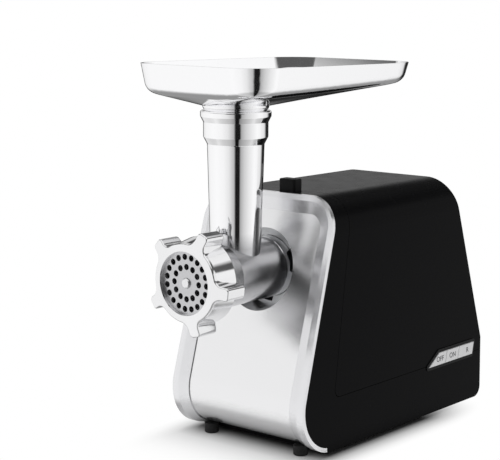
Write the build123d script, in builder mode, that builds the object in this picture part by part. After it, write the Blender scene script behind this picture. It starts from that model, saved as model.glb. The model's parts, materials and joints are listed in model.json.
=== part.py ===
"""Electric meat grinder: a motor housing with a three-stage gearbox, and a head with a tray.

Frame: X across (the switches are on +X), Y along the barrel towards the rear, Z up.
The origin is on the ground, below the centre of the bounding box. Millimetres and degrees.
Each piece is made with the barrel's axis at X 0, and is written box_middle_x to its left.
"""

import os
from math import acos, atan2, cos, degrees, hypot, pi, radians, sin, sqrt, tan

from build123d import *

os.makedirs("parts", exist_ok=True)

# ---------------------------------------------------------------- driving dimensions

# Housing
housing_top = 199.0  # height of the top face
housing_top_width = 129.0
top_depth = 161.5  # fascia's top edge to the rear top edge
side_draft = 0.68  # each side leans out towards the base
front_lean = 15.7  # the fascia leans back
rear_lean = 18.0
rear_kink_height = 56.0
top_corner_radius = 27.0
front_bend_radius = 36.0
rear_bend_radius = 9.0
wall = 2.5
foot_height = 4.0
foot_radius = 5.8
foot_chamfer = 0.8
foot_side_inset = 18.5  # from the housing's side
foot_inset = 30.0  # from each end of the underside
screw_radius = 1.7
screw_head_radius = 3.2
screw_head_height = 2.2
screw_length = 14.0
boss_margin = 1.0  # how far a screw hole runs on past the screw's tip
base_boss_radius = 5.5
base_boss_top = 36.0
rear_boss_radius = 5.0
rear_boss_length = 20.0
rear_screw_top = 120.0  # heights of the rear cover's screws
rear_screw_low = 28.0

# Parting line between the front body and the upper cover
seam_setback = 18.5  # behind the fascia's top edge
seam_lean = 8.3
seam_height = 45.0
seam_corner_radius = 6.0
seam_gap = 0.4

# Fascia
frame_depth = 3.4
sheet_thickness = 1.0
rim_width = 4.2
band_width = 9.0  # sloped band between the rim and the sheet
band_depth = 2.6
band_corner_radius = 20.0
window_corner_radius = 12.0
sheet_margin = 4.0  # how far the sheet runs behind the frame
fascia_end_gap = 5.5  # from the fascia's lower end to the end of the bend

# Head: the ring nut's front face is the front of the whole grinder
head_axis = 140.5  # height of the barrel's axis
fascia_setback = 101.5  # nut face to the fascia's top edge
gap = 0.3  # clearance between bodies that move against each other
touch = 0.1  # clearance between faces that lie on each other
disc_radius = 27.0  # cutting plate, size No. 5
disc_thickness = 5.0
disc_pin_radius = 3.8
disc_pin_fit = 0.15
disc_pin_stand = 1.6  # how far the auger's pin stands out of the plate
disc_pin_chamfer = 0.6
disc_hole_radius = 2.35
outer_hole_count = 19
outer_hole_circle = 19.6
inner_hole_count = 12
inner_hole_circle = 12.1
lip_thickness = 3.2
lip_radius = 24.0
thread_wall = 1.6
thread_length = 9.0
thread_relief = 0.6
nut_wall = 3.8  # at the rear end
nut_front_wall = 0.8
lug_count = 5
lug_phase = -6.0
lug_tip_radius = 40.8
lug_width = 10.0
lug_root_radius = 7.0
lug_tip_fillet = 3.0
lug_setback = 3.4
lug_length = 19.0
nut_edge_radius = 1.2
nut_play = 1.0  # between the nut and the barrel's flange
barrel_flange_radius = 29.4
barrel_radius = 24.6
barrel_wall = 2.6
spigot_radius = 24.1
spigot_wall = 3.6
collar_start = 91.0
collar_wall = 3.1
collar_edge = 0.5
collar_end = 110.0
socket_reach = 100.0  # nut face to the socket's floor

# Feed tube and tray
tube_setback = 58.6  # nut face to the tube's axis
tube_radius = 18.9  # at the barrel's axis
tube_draft = 1.63
tube_wall = 2.4
cup_top = 264.8
cup_rim_height = 4.3
cup_rim_slope = 4.5
cup_depth = 19.8
cup_taper = 5.5
cup_radius = 24.6
cup_rim_radius = 26.9
cup_wall = 2.2
cup_edge_radius = 1.4
tray_rise = 34.5  # from the cup's rim to the tray's rim
tray_width = 139.4
tray_length = 181.5
tray_setback = 10.2  # nut face to the tray's front edge, with the tray square
tray_turn = -6.0  # the loose tray sits a little off square, about the tube's axis
tray_flare = 4.2
tray_corner_radius = 26.0
tray_front_depth = 22.0
tray_rear_depth = 14.5
tray_sheet = 1.2
tray_bend_radius = 10.0
neck_radius = 25.1
neck_rise = 3.6  # from the cup's rim to the tray's funnel

# Auger and blade
auger_start = 14.2
flight_start = 17.0
auger_end = 84.2
flight_end = 83.5
flight_pitch = 27.0
flight_thickness = 4.0
blade_phase = 20.0  # angle of the first arm
auger_front_radius = 9.0
auger_rear_radius = 11.5
journal_radius = 8.0
journal_end = 94.5
square_size = 7.8
blade_radius = 23.2
blade_room = 1.4  # round the blade, in the head
blade_thickness = 5.0
blade_arm_width = 7.5
blade_taper = 84.0  # angle at the wide side of an arm, where 90 has parallel edges
hub_radius = 9.5
bush_radius = 11.0
bush_flange_radius = 13.5
bush_flange = 1.5
rear_wall = 7.0
coupling_flats = 14.0
coupling_end = 107.0
tail_end = 104.5
coupling_screw_radius = 1.9

# Socket in the housing
socket_hole_radius = 30.0
socket_hole_draft = 8.0
socket_floor = 3.0
socket_skirt_wall = 3.0
socket_depth = 14.0
socket_flange_radius = 44.5
socket_flange = 3.0
socket_screw_circle = 38.0
tab_count = 3
tab_width = 18.0
tab_radius = 27.9
tab_thickness = 4.0
twist_angle = 45.0

# Gearbox: modules and teeth of the three stages, from the motor to the output
pressure_angle = 20.0
gear_backlash = 0.12
pinion_teeth = 12
first_module, first_teeth = 1.0, 60
second_module, second_teeth = 1.25, 50
third_module, third_teeth = 1.5, 48
first_face, second_face, third_face = 8.0, 10.0, 12.0
gear_side_gap = 2.0
gear_pin_radius = 4.0
gear_web = 3.0  # thickness of the thin web of each wheel
rim_modules = 4.0  # from a wheel's pitch circle in to its web, in modules
pinion_addendum, pinion_dedendum = 1.0, 1.0  # in modules
wheel_addendum, wheel_dedendum = 0.75, 1.25
case_wall = 3.0
case_gap = 2.5
cover_thickness = 4.0
ear_radius = 6.5
ear_bar = 1.6  # width of the bar to an ear, in ear radii
ear_stand = 9.7  # from the case's edge to a top ear's centre
ear_angle_top = 38.4  # above the horizontal through the output axis
ear_reach_low = 45.6  # from the motor's axis
ear_angle_low = -15.3
ear_screw_reach = 12.0  # how far the case's screws run into the body
output_shaft_radius = 6.0
output_bearing_radius = 14.0
output_bearing_width = 8.0
bearing_shoulder = 1.5
drive_radius = 12.5
drive_reach = 97.0
drive_socket_play = 1.5
running = 0.04  # radial clearance of a shaft in its bearing

# Motor
motor_height = 62.0  # height of the rotor's axis
intermediate_offset = 20.0  # sideways place of the first gear's axis
motor_width = 72.0
motor_tall = 60.0
motor_corner = 7.0
motor_screw_inset = 6.0
motor_screw_radius = 2.0
post_radius = 4.5
bracket_thickness = 4.0
bearing_radius = 11.0
bearing_width = 7.0
bearing_boss_radius = 14.0
shaft_radius = 4.0
pinion_bore = 3.0
fan_radius = 29.0
fan_width = 10.0
fan_sheet = 1.5
fan_blade_count = 9
fan_blade_angle = 12.0
stator_length = 35.0
stator_yoke = 6.0
pole_width = 16.0
rotor_radius = 19.7
rotor_gap = 0.8
pole_shoe = 3.0
slot_count = 12
slot_depth = 8.0
slot_width = 4.0
slot_cover = 1.0  # rotor iron outside a slot
coil_overhang = 6.0
coil_inner = 38.0
coil_leg = 6.0
coil_height = 8.5
winding_radius = 14.4
commutator_radius = 10.0
commutator_length = 14.0
commutator_cut_depth = 1.2
commutator_cut = 0.5
brush_width = 8.0
brush_height = 8.0
brush_reach = 14.0
holder_wall = 1.6
holder_gap = 2.0  # commutator to the holders
pad_gap = 4.0  # commutator to the holders' pads
pad_lap = 1.0  # how far the pads reach over the commutator's end
shaft_play = 1.0  # round the shaft in a bracket's hole
motor_head_extra = 0.6  # how much larger the motor's screw heads are
mount_across = 16.0
mount_along = 8.0
mount_high = 8.0

# Switches on the +X side, given ahead of the housing's rear and above the ground
strip_low = 43.9
strip_high = 54.3
strip_tip = 82.4
strip_slope_end = 66.9
strip_rear = 14.5
first_split = 56.7
second_split = 37.5
split_lean = 13.0
bezel_margin = 2.6
bezel_flange = 1.0  # how far the bezel laps over the housing
bezel_stand = 0.8
button_stand = 0.8
button_depth = 6.0
button_edge_radius = 0.5
button_gap = 0.25
plunger_inset = 8.0  # from the strip's tip to the first button's straight part
button_travel = 2.5
bezel_depth = 8.5
plunger_radius = 2.0
switch_depth = 15.0

# Lock
lock_button_across = 16.0
lock_button_along = 10.0
lock_button_above = 10.0  # above the top face
lock_button_corner = 2.0
lock_button_edge = 1.0
lock_button_x = 10.0
lock_button_setback = 112.5
lock_travel = 3.0
lock_flange = 2.0
lock_stem_radius = 2.2
lock_stem_setback = 111.0
lock_stem_tip = 184.0
spring_radius = 3.4
spring_wire = 0.7
spring_turns = 3.5
lever_pivot_x = -2.0
lever_pivot_height = 180.5
lever_pin_radius = 1.5
pin_end = 1.0  # how far the pin stands out of the lever
lever_boss_radius = 4.0
lever_arm_thickness = 4.1
lever_plate = 2.5
lever_setback = 109.0
lever_tooth_left = -16.0
lever_tooth_right = -11.0
lever_tooth_tip = 162.8
bracket_plate = 2.0
shelf_height = 184.8
rivet_radius = 1.5
rivet_spacing = 8.0
rivet_height = 175.5

# Rear cover and electrics
gland_stand = 4.0
gland_radius = 7.0
gland_flange_radius = 9.5
gland_bore = 3.4
gland_chamfer = 1.5
gland_inset = 28.5  # from the housing's side
gland_height = 30.0
vent_height = 130.0  # middle of the vents on the leaning rear face
vent_count = 9
vent_length = 44.0
vent_width = 3.0
vent_pitch = 8.0
terminal_across = 30.0
terminal_along = 14.0
terminal_high = 13.0
terminal_hole_radius = 1.8
terminal_hole_depth = 6.0
capacitor_across = 12.0
capacitor_along = 26.0
capacitor_high = 18.0
capacitor_corner = 2.0

# ---------------------------------------------------------------- derived places

rear_run = tan(radians(rear_lean)) * (housing_top - rear_kink_height)
overall_length = fascia_setback + top_depth + rear_run + gland_stand
nut_face = -overall_length / 2
fascia_top_y = nut_face + fascia_setback
rear_top_y = fascia_top_y + top_depth
rear_y = rear_top_y + rear_run
bend_tangent = front_bend_radius * tan(radians(90 + front_lean) / 2)
disc_front = nut_face + lip_thickness + touch
disc_back = disc_front + disc_thickness
thread_radius = disc_radius + gap + thread_wall
nut_bore = thread_radius + gap
nut_radius = nut_bore + nut_wall
nut_front_radius = nut_bore + nut_front_wall
bore_radius = barrel_radius - barrel_wall
rear_bore_radius = spigot_radius - spigot_wall
tube_y = nut_face + tube_setback
socket_y = nut_face + socket_reach
flange_y = socket_y + socket_depth
cover_y = flange_y + socket_flange
case_y = cover_y + cover_thickness
tray_y = nut_face + tray_setback + tray_length / 2
tray_height = cup_top + tray_rise
neck_top = cup_top + neck_rise
box_middle_x = (tray_y - tube_y) * sin(radians(-tray_turn))  # the turned tray is the widest piece
cup_floor = cup_top - cup_depth
cup_base = cup_floor - cup_taper
gland_place = (gland_inset - housing_top_width / 2, gland_height)


def front_y(height, depth=0.0):
    """Y of the leaning front face at a height, set in by a depth square to the face."""
    slope = tan(radians(front_lean))
    return fascia_top_y - slope * (housing_top - height) + depth / cos(radians(front_lean))


def rear_line_y(height, depth=0.0):
    """Y of the leaning rear face at a height, set in by a depth square to the face."""
    slope = tan(radians(rear_lean))
    return rear_top_y + slope * (housing_top - height) - depth / cos(radians(rear_lean))


def side_x(height):
    """Half the housing's width at a height."""
    return housing_top_width / 2 + tan(radians(side_draft)) * (housing_top - height)


bend_y = front_y(foot_height) + bend_tangent  # the bend's centre and its lower end
fascia_end = bend_y - fascia_end_gap
base_front = bend_y + wall


# ---------------------------------------------------------------- shared construction


def facing_front(y):
    """Plane across the barrel at y: local x is X, local y is Z."""
    return Plane.XZ.offset(-y)


def rod(start, end, radius, at, mode=Mode.ADD):
    """Cylinder along Y from start to end at (x, z)."""
    with BuildSketch(facing_front(start)) as section:
        with Locations(at):
            Circle(radius)
    extrude(section.sketch, amount=start - end, mode=mode)


def block(x, y, z, mode=Mode.ADD):
    """Box between two limits on each axis."""
    with BuildSketch(Plane.XY.offset(z[0])) as section:
        with Locations(((x[0] + x[1]) / 2, (y[0] + y[1]) / 2)):
            Rectangle(x[1] - x[0], y[1] - y[0])
    extrude(section.sketch, amount=z[1] - z[0], mode=mode)


def turned(stations, at=(0.0, head_axis), mode=Mode.ADD):
    """Solid turned about an axis along Y at (x, z), from (y, radius) stations."""
    x, z = at
    ends = [(stations[0][0], z), *[(y, z + radius) for y, radius in stations], (stations[-1][0], z)]
    with BuildSketch(Plane.YZ.offset(x)) as section:
        with BuildLine():
            Polyline(*ends, close=True)
        make_face()
    revolve(section.sketch, axis=Axis((x, 0, z), (0, 1, 0)), mode=mode)


def turned_up(stations, y=tube_y, mode=Mode.ADD, rounding=0.0):
    """Solid turned about the vertical axis x = 0 at y, from (radius, z) stations, with round corners."""
    ends = [(0, stations[0][1]), *stations, (0, stations[-1][1])]
    with BuildSketch(facing_front(y)) as section:
        with BuildLine():
            Polyline(*ends, close=True)
        make_face()
        if rounding:
            corners = section.vertices().filter_by(lambda corner: corner.X > rounding)
            fillet(corners.sort_by(Axis.Y)[1:], rounding)
    revolve(section.sketch, axis=Axis((0, y, 0), (0, 0, 1)), mode=mode)


def housing_envelope(front=0.0, top=0.0, rear=0.0, bottom=0.0, side=0.0):
    """The housing's outer shape, set in by a depth on each face."""
    low = foot_height + bottom
    high = housing_top - top
    rear_wall_y = rear_y - rear
    kink = housing_top - (rear_wall_y - rear_line_y(housing_top, rear)) / tan(radians(rear_lean))
    with BuildPart() as shape:
        with BuildSketch(Plane.YZ) as side_view:
            with BuildLine():
                Polyline(
                    (front_y(low, front), low),
                    (front_y(high, front), high),
                    (rear_line_y(high, rear), high),
                    (rear_wall_y, kink),
                    (rear_wall_y, low),
                    close=True,
                )
            make_face()
            base_corners = side_view.vertices().sort_by(Axis.Y)[:2].sort_by(Axis.X)
            fillet(base_corners[0], front_bend_radius - front)
            base_corners = side_view.vertices().sort_by(Axis.Y)[:2].sort_by(Axis.X)
            fillet(base_corners[1], rear_bend_radius)
        extrude(amount=housing_top_width, both=True)
        with BuildSketch(Plane.XZ) as front_view:
            with BuildLine():
                Polyline(
                    (-side_x(0) + side, 0),
                    (-side_x(high) + side, high),
                    (side_x(high) - side, high),
                    (side_x(0) - side, 0),
                    close=True,
                )
            make_face()
            fillet(front_view.vertices().sort_by(Axis.Y)[-2:], top_corner_radius - max(side, top))
        extrude(amount=overall_length, both=True, mode=Mode.INTERSECT)
    return shape.part


def cover_region(clearance=0.0):
    """Everything above and behind the parting line, set back by a clearance."""

    def seam_y(height):
        return fascia_top_y + seam_setback + clearance - tan(radians(seam_lean)) * (housing_top - height)

    low = seam_height + clearance
    high = housing_top + wall
    with BuildPart() as region:
        with BuildSketch(Plane.YZ) as side_view:
            with BuildLine():
                Polyline(
                    (seam_y(low), low),
                    (seam_y(high), high),
                    (overall_length, high),
                    (overall_length, low),
                    close=True,
                )
            make_face()
            fillet(side_view.vertices().sort_by(Axis.X)[0], seam_corner_radius)
        extrude(amount=housing_top_width, both=True)
    return region.part


def finish(piece, name):
    """Label a finished piece, move it to the middle of the bounding box and write it."""
    placed = piece.part.moved(Location((-box_middle_x, 0, 0)))
    placed.label = name
    export_step(placed, f"parts/{name}.step")


# ---------------------------------------------------------------- fascia

outer_shape = housing_envelope()
under_frame = housing_envelope(front=frame_depth, bottom=frame_depth)
sheet_depth = frame_depth + sheet_thickness
under_sheet = housing_envelope(front=sheet_depth, bottom=sheet_depth)
rear_inside = housing_envelope(rear=wall)
band_half_width = housing_top_width / 2 - rim_width
window_half_width = band_half_width - band_width
band_top = housing_top - rim_width
window_top = band_top - band_width
tangent_height = foot_height + bend_tangent * cos(radians(front_lean))
lean_plane = Plane(
    origin=(0, front_y(tangent_height), tangent_height),
    x_dir=(1, 0, 0),
    z_dir=(0, -cos(radians(front_lean)), sin(radians(front_lean))),
)


def up_the_lean(height):
    """Distance from the bend up the leaning face to a height."""
    return (height - tangent_height) / cos(radians(front_lean))


def arch(plane, half_width, top, radius):
    """Upright outline with two rounded top corners, standing on the plane's local y = 0."""
    with BuildSketch(plane) as outline:
        with Locations((0, top / 2)):
            Rectangle(2 * half_width, top)
        fillet(outline.vertices().sort_by(Axis.Y)[-2:], radius)
    return outline.sketch


band_mouth = arch(lean_plane, band_half_width, up_the_lean(band_top), band_corner_radius)
window = arch(
    lean_plane.offset(-band_depth), window_half_width, up_the_lean(window_top), window_corner_radius
)

with BuildPart() as fascia_recess:
    loft([band_mouth, window], ruled=True)
    extrude(window, amount=-wall)
    # The same section runs on round the bend and along the underside.
    with BuildSketch(Plane(origin=lean_plane.origin, x_dir=(1, 0, 0), z_dir=lean_plane.y_dir)):
        with BuildLine():
            Polyline(
                (-band_half_width, 0),
                (band_half_width, 0),
                (window_half_width, band_depth),
                (window_half_width, band_depth + wall),
                (-window_half_width, band_depth + wall),
                (-window_half_width, band_depth),
                close=True,
            )
        make_face()
    bend_axis = Axis((0, bend_y, foot_height + front_bend_radius), (1, 0, 0))
    revolve(axis=bend_axis, revolution_arc=90 + front_lean)

with BuildPart() as underside_cut:
    block((-housing_top_width, housing_top_width), (fascia_end, rear_y + wall), (0, seam_height / 2))

with BuildPart() as frame_blank:
    add(outer_shape)
    add(under_frame, mode=Mode.SUBTRACT)
    add(underside_cut.part, mode=Mode.SUBTRACT)

with BuildPart() as fascia_frame:
    add(frame_blank.part)
    add(fascia_recess.part, mode=Mode.SUBTRACT)
finish(fascia_frame, "fascia_frame")


def socket_hole_cone(extra=0.0):
    """Stations of the conical hole in the fascia, which narrows towards the socket's floor."""
    front = front_y(foot_height)
    widening = tan(radians(socket_hole_draft)) * (socket_y - front)
    return [(front, socket_hole_radius + widening + extra), (socket_y, socket_hole_radius + extra)]


with BuildPart() as sheet_outline:
    sheet_edge = window_half_width + sheet_margin
    sheet_top = window_top + sheet_margin
    with BuildSketch(facing_front(0)) as sheet_view:
        with Locations((0, sheet_top / 2)):
            Rectangle(2 * sheet_edge, sheet_top)
        fillet(sheet_view.vertices().sort_by(Axis.Y)[-2:], window_corner_radius + sheet_margin)
    extrude(amount=overall_length, both=True)

with BuildPart() as sheet_blank:
    add(under_frame)
    add(under_sheet, mode=Mode.SUBTRACT)
    add(underside_cut.part, mode=Mode.SUBTRACT)
    add(sheet_outline.part, mode=Mode.INTERSECT)

with BuildPart() as hole_lining:
    turned(socket_hole_cone(extra=sheet_thickness))
    add(under_frame, mode=Mode.INTERSECT)

with BuildPart() as fascia_plate:
    add(sheet_blank.part)
    add(hole_lining.part)
    turned(socket_hole_cone(), mode=Mode.SUBTRACT)
finish(fascia_plate, "fascia_plate")

# ---------------------------------------------------------------- switch strip outlines

bezel_height = (strip_low + strip_high) / 2
bezel_face = side_x(bezel_height) + bezel_stand
button_face = bezel_face + button_stand
bezel_back = bezel_face - bezel_depth
bezel_sleeve = bezel_margin - bezel_flange


def split_y(ahead, height):
    """Y of a slanted line between two buttons, given where it crosses the strip's middle."""
    return rear_y - ahead + tan(radians(split_lean)) * (height - bezel_height)


def strip_outline(plane, margin=0.0):
    """Outline of the three buttons together, with a margin around it."""
    with BuildSketch(plane) as outline:
        with BuildLine():
            Polyline(
                (rear_y - strip_tip, strip_low),
                (rear_y - strip_slope_end, strip_high),
                (split_y(strip_rear, strip_high), strip_high),
                (split_y(strip_rear, strip_low), strip_low),
                close=True,
            )
        make_face()
        if margin:
            offset(amount=margin)
    return outline.sketch


def button_outline(plane, start, end):
    """Outline of one button, between two slanted lines across the strip."""
    low = strip_low - bezel_margin
    high = strip_high + bezel_margin
    with BuildSketch(plane) as outline:
        add(strip_outline(Plane.XY))
        with BuildLine():
            Polyline(
                (split_y(start, low), low),
                (split_y(start, high), high),
                (split_y(end, high), high),
                (split_y(end, low), low),
                close=True,
            )
        make_face(mode=Mode.INTERSECT)
    return outline.sketch


def facing_side(x):
    """Plane along the housing at x: local x is Y, local y is Z."""
    return Plane.YZ.offset(x)


with BuildPart() as bezel_hole:
    extrude(strip_outline(facing_side(bezel_back), bezel_sleeve + touch), amount=2 * bezel_depth)

# ---------------------------------------------------------------- housing shells

cavity_depth = sheet_depth + wall
housing_cavity = housing_envelope(
    front=cavity_depth, bottom=cavity_depth, top=wall, side=wall, rear=-wall
)
base_half_width = side_x(foot_height) - wall
boss_root = wall / 4  # how far a boss runs into its side wall
base_boss_x = base_half_width - base_boss_radius + boss_root
base_boss_places = [
    (x, y)
    for x in (-base_boss_x, base_boss_x)
    for y in (base_front + 2 * base_boss_radius, rear_y - 4 * base_boss_radius)
]
base_top = foot_height + wall
third_tip = third_module * (third_teeth / 2 + wheel_addendum)
ear_reach_top = third_tip + case_gap + case_wall + ear_stand
ear_places = [
    (side * reach * cos(radians(angle)), height + reach * sin(radians(angle)))
    for reach, angle, height in (
        (ear_reach_top, ear_angle_top, head_axis),
        (ear_reach_low, ear_angle_low, motor_height),
    )
    for side in (-1, 1)
]
lock_x = lock_button_x
lock_y = nut_face + lock_button_setback


def rear_screw_plane(side, height):
    """Plane on the rear face at one of its screws, facing out."""
    leaning = height > rear_kink_height
    lean = radians(rear_lean) if leaning else 0.0
    y = rear_line_y(height) if leaning else rear_y
    x = side * (side_x(height) - wall - rear_boss_radius + boss_root)
    return Plane(origin=(x, y, height), x_dir=(1, 0, 0), z_dir=(0, cos(lean), sin(lean)))


rear_screw_planes = [
    rear_screw_plane(side, height) for side in (-1, 1) for height in (rear_screw_top, rear_screw_low)
]


def rear_bosses(planes):
    """Bosses for the rear cover's screws, joined to the side walls."""
    for plane in planes:
        with BuildSketch(plane) as section:
            Circle(rear_boss_radius)
        extrude(section.sketch, amount=-rear_boss_length)


def rear_boss_holes(planes):
    """Screw holes in those bosses."""
    for plane in planes:
        with BuildSketch(plane) as section:
            Circle(screw_radius)
        extrude(section.sketch, amount=-screw_length - boss_margin, mode=Mode.SUBTRACT)


with BuildPart() as upper_cover:
    add(outer_shape)
    add(housing_cavity, mode=Mode.SUBTRACT)
    rear_bosses([plane for plane in rear_screw_planes if plane.origin.Z > seam_height])
    rear_boss_holes([plane for plane in rear_screw_planes if plane.origin.Z > seam_height])
    add(cover_region(seam_gap), mode=Mode.INTERSECT)
    add(rear_inside, mode=Mode.INTERSECT)
    add(bezel_hole.part, mode=Mode.SUBTRACT)
finish(upper_cover, "upper_cover")

with BuildPart() as front_body:
    add(outer_shape)
    add(frame_blank.part, mode=Mode.SUBTRACT)
    add(sheet_blank.part, mode=Mode.SUBTRACT)
    add(housing_cavity, mode=Mode.SUBTRACT)
    block(
        (-base_half_width, base_half_width),
        (base_front, rear_y + wall),
        (0, seam_height / 2),
        Mode.SUBTRACT,
    )
    rear_bosses([plane for plane in rear_screw_planes if plane.origin.Z < seam_height])
    rear_boss_holes([plane for plane in rear_screw_planes if plane.origin.Z < seam_height])
    # Bosses for the base screws, joined to the side walls
    with BuildSketch(Plane.XY.offset(base_top)):
        with Locations(base_boss_places):
            Circle(base_boss_radius)
    extrude(amount=base_boss_top - base_top)
    with BuildSketch(Plane.XY.offset(base_top)):
        with Locations(base_boss_places):
            Circle(screw_radius)
    extrude(amount=screw_length - wall + boss_margin, mode=Mode.SUBTRACT)
    add(cover_region(), mode=Mode.SUBTRACT)
    add(rear_inside, mode=Mode.INTERSECT)
    add(bezel_hole.part, mode=Mode.SUBTRACT)
    # Hole for the lock button
    block(
        (lock_x - lock_button_across / 2 - gap, lock_x + lock_button_across / 2 + gap),
        (lock_y - lock_button_along / 2 - gap, lock_y + lock_button_along / 2 + gap),
        (housing_top - 2 * wall, housing_top + wall),
        Mode.SUBTRACT,
    )

with BuildPart() as body_bosses:
    for place in ear_places:
        rod(nut_face, cover_y, ear_radius, place)
    turned(socket_hole_cone(extra=sheet_thickness + wall))
    add(under_sheet, mode=Mode.INTERSECT)
    for place in ear_places:
        rod(cover_y - ear_screw_reach - gap, cover_y, screw_radius, place, Mode.SUBTRACT)

with front_body:
    add(body_bosses.part)
    turned(socket_hole_cone(extra=sheet_thickness), mode=Mode.SUBTRACT)
    # Flat seat for the socket's floor
    rod(socket_y, cover_y, socket_hole_radius + wall, (0, head_axis), Mode.SUBTRACT)
finish(front_body, "front_body")

# ---------------------------------------------------------------- rear cover, base and feet

leaning_back = Plane(
    origin=(0, rear_line_y(vent_height), vent_height),
    x_dir=(1, 0, 0),
    z_dir=(0, cos(radians(rear_lean)), sin(radians(rear_lean))),
)

with BuildPart() as rear_cover:
    add(outer_shape)
    add(rear_inside, mode=Mode.SUBTRACT)
    with BuildSketch(leaning_back):
        with GridLocations(0, vent_pitch, 1, vent_count):
            SlotOverall(vent_length, vent_width)
    extrude(amount=2 * wall, both=True, mode=Mode.SUBTRACT)
    for plane in rear_screw_planes:
        with BuildSketch(plane):
            Circle(screw_radius)
        extrude(amount=-2 * wall, mode=Mode.SUBTRACT)
    rod(rear_y - 2 * wall, rear_y + wall, gland_radius, gland_place, Mode.SUBTRACT)
finish(rear_cover, "rear_cover")

with BuildPart() as rear_screws:
    for plane in rear_screw_planes:
        with BuildSketch(plane):
            Circle(screw_head_radius)
        extrude(amount=screw_head_height / 2)
        with BuildSketch(plane):
            Circle(screw_radius)
        extrude(amount=-screw_length)
finish(rear_screws, "rear_screws")

base_inset = touch + gap
with BuildPart() as base_plate:
    base_x = base_half_width - base_inset
    block((-base_x, base_x), (base_front + base_inset, rear_y), (foot_height, base_top))
    add(housing_envelope(rear=wall + base_inset), mode=Mode.INTERSECT)
    with BuildSketch(Plane.XY.offset(foot_height)):
        with Locations((0, (base_front + rear_y) / 2)):
            with GridLocations(0, 2 * vent_width, 1, 2 * vent_count):
                SlotOverall(vent_length / 2, vent_width)
    extrude(amount=wall, mode=Mode.SUBTRACT)
    with BuildSketch(Plane.XY.offset(foot_height)):
        with Locations(base_boss_places):
            Circle(screw_radius)
    extrude(amount=wall, mode=Mode.SUBTRACT)
finish(base_plate, "base_plate")

with BuildPart() as base_screws:
    with BuildSketch(Plane.XY.offset(foot_height - screw_head_height)):
        with Locations(base_boss_places):
            Circle(screw_head_radius)
    extrude(amount=screw_head_height)
    with BuildSketch(Plane.XY.offset(foot_height)):
        with Locations(base_boss_places):
            Circle(screw_radius)
    extrude(amount=screw_length)
finish(base_screws, "base_screws")

underside_front = front_y(foot_height)
foot_x = housing_top_width / 2 - foot_side_inset
foot_places = [
    (side * foot_x, y)
    for side in (-1, 1)
    for y in (underside_front + foot_inset + foot_radius, rear_y - foot_inset)
]
with BuildPart() as feet:
    with BuildSketch():
        with Locations(foot_places):
            Circle(foot_radius)
    extrude(amount=2 * foot_height)
    chamfer(feet.edges().group_by(Axis.Z)[0], foot_chamfer)
    add(under_frame, mode=Mode.SUBTRACT)
    block((-base_x, base_x), (base_front, rear_y), (foot_height, 3 * foot_height), Mode.SUBTRACT)
finish(feet, "feet")

# ---------------------------------------------------------------- head

barrel_front = disc_front + touch
thread_end = barrel_front + thread_length
nut_end = nut_face + lug_setback + lug_length
flange_front = nut_end + nut_play
collar_y = nut_face + collar_start
head_end = nut_face + collar_end
wall_front = nut_face + auger_end + bush_flange + touch
wall_back = wall_front + rear_wall


def tube_radius_at(height):
    """Outer radius of the feed tube at a height."""
    return tube_radius + tan(radians(tube_draft)) * (height - head_axis)


with BuildPart() as grinder_head:
    turned(
        [
            (barrel_front, thread_radius),
            (thread_end, thread_radius),
            (thread_end, thread_radius - thread_relief),
            (flange_front, thread_radius - thread_relief),
            (flange_front, barrel_flange_radius),
            (tube_y - tube_radius, barrel_radius),
            (collar_y, spigot_radius),
            (collar_y, spigot_radius - collar_wall),
            (head_end, spigot_radius - collar_wall),
        ]
    )
    turned_up(
        [
            (tube_radius_at(head_axis), head_axis),
            (tube_radius_at(cup_base), cup_base),
            (cup_radius, cup_floor),
            (cup_radius, cup_top - cup_rim_height - cup_rim_slope),
            (cup_rim_radius, cup_top - cup_rim_height),
            (cup_rim_radius, cup_top),
        ],
        rounding=cup_edge_radius,
    )
    turned(
        [
            (barrel_front - touch, disc_radius + gap),
            (disc_back + touch, disc_radius + gap),
            (disc_back + touch, blade_radius + blade_room),
            (flange_front, blade_radius + blade_room),
            (tube_y - tube_radius, bore_radius),
            (wall_front, rear_bore_radius),
            (wall_front, bush_radius),
            (wall_back, bush_radius),
            (wall_back, spigot_radius - collar_wall - spigot_wall),
            (head_end + touch, spigot_radius - collar_wall - spigot_wall),
        ],
        mode=Mode.SUBTRACT,
    )
    turned_up(
        [
            (tube_radius_at(head_axis) - tube_wall, head_axis),
            (tube_radius_at(cup_base) - tube_wall, cup_base),
            (tube_radius_at(cup_base) - tube_wall, cup_floor),
            (cup_radius - cup_wall, cup_floor),
            (cup_radius - cup_wall, cup_top + touch),
        ],
        mode=Mode.SUBTRACT,
    )
finish(grinder_head, "grinder_head")

with BuildPart() as head_bush:
    turned([(wall_front - bush_flange, bush_flange_radius), (wall_front, bush_flange_radius),
            (wall_front, bush_radius), (wall_back, bush_radius)])
    rod(wall_front - bush_flange, wall_back, journal_radius + running, (0, head_axis), Mode.SUBTRACT)
finish(head_bush, "head_bush")


def tab_section(y, width, radius, inner, turn=0.0):
    """Outline of the bayonet's tabs at y, turned about the barrel's axis."""
    with BuildSketch(facing_front(y)) as outline:
        with Locations((0, head_axis)):
            with PolarLocations(0, tab_count, start_angle=90 + turn):
                Rectangle(radius + tab_width, width, align=(Align.MIN, Align.CENTER))
            Circle(radius, mode=Mode.INTERSECT)
            Circle(inner, mode=Mode.SUBTRACT)
    return outline.sketch


with BuildPart() as head_collar:
    turned(
        [
            (collar_y, spigot_radius - collar_edge),
            (collar_y + collar_edge, spigot_radius),
            (head_end, spigot_radius),
        ]
    )
    extrude(
        tab_section(socket_y + socket_floor + gap, tab_width, tab_radius, spigot_radius - collar_wall / 2),
        amount=-tab_thickness,
    )
    rod(collar_y, head_end, spigot_radius - collar_wall, (0, head_axis), Mode.SUBTRACT)
finish(head_collar, "head_collar")

# ---------------------------------------------------------------- ring nut, plate, blade, auger

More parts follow.
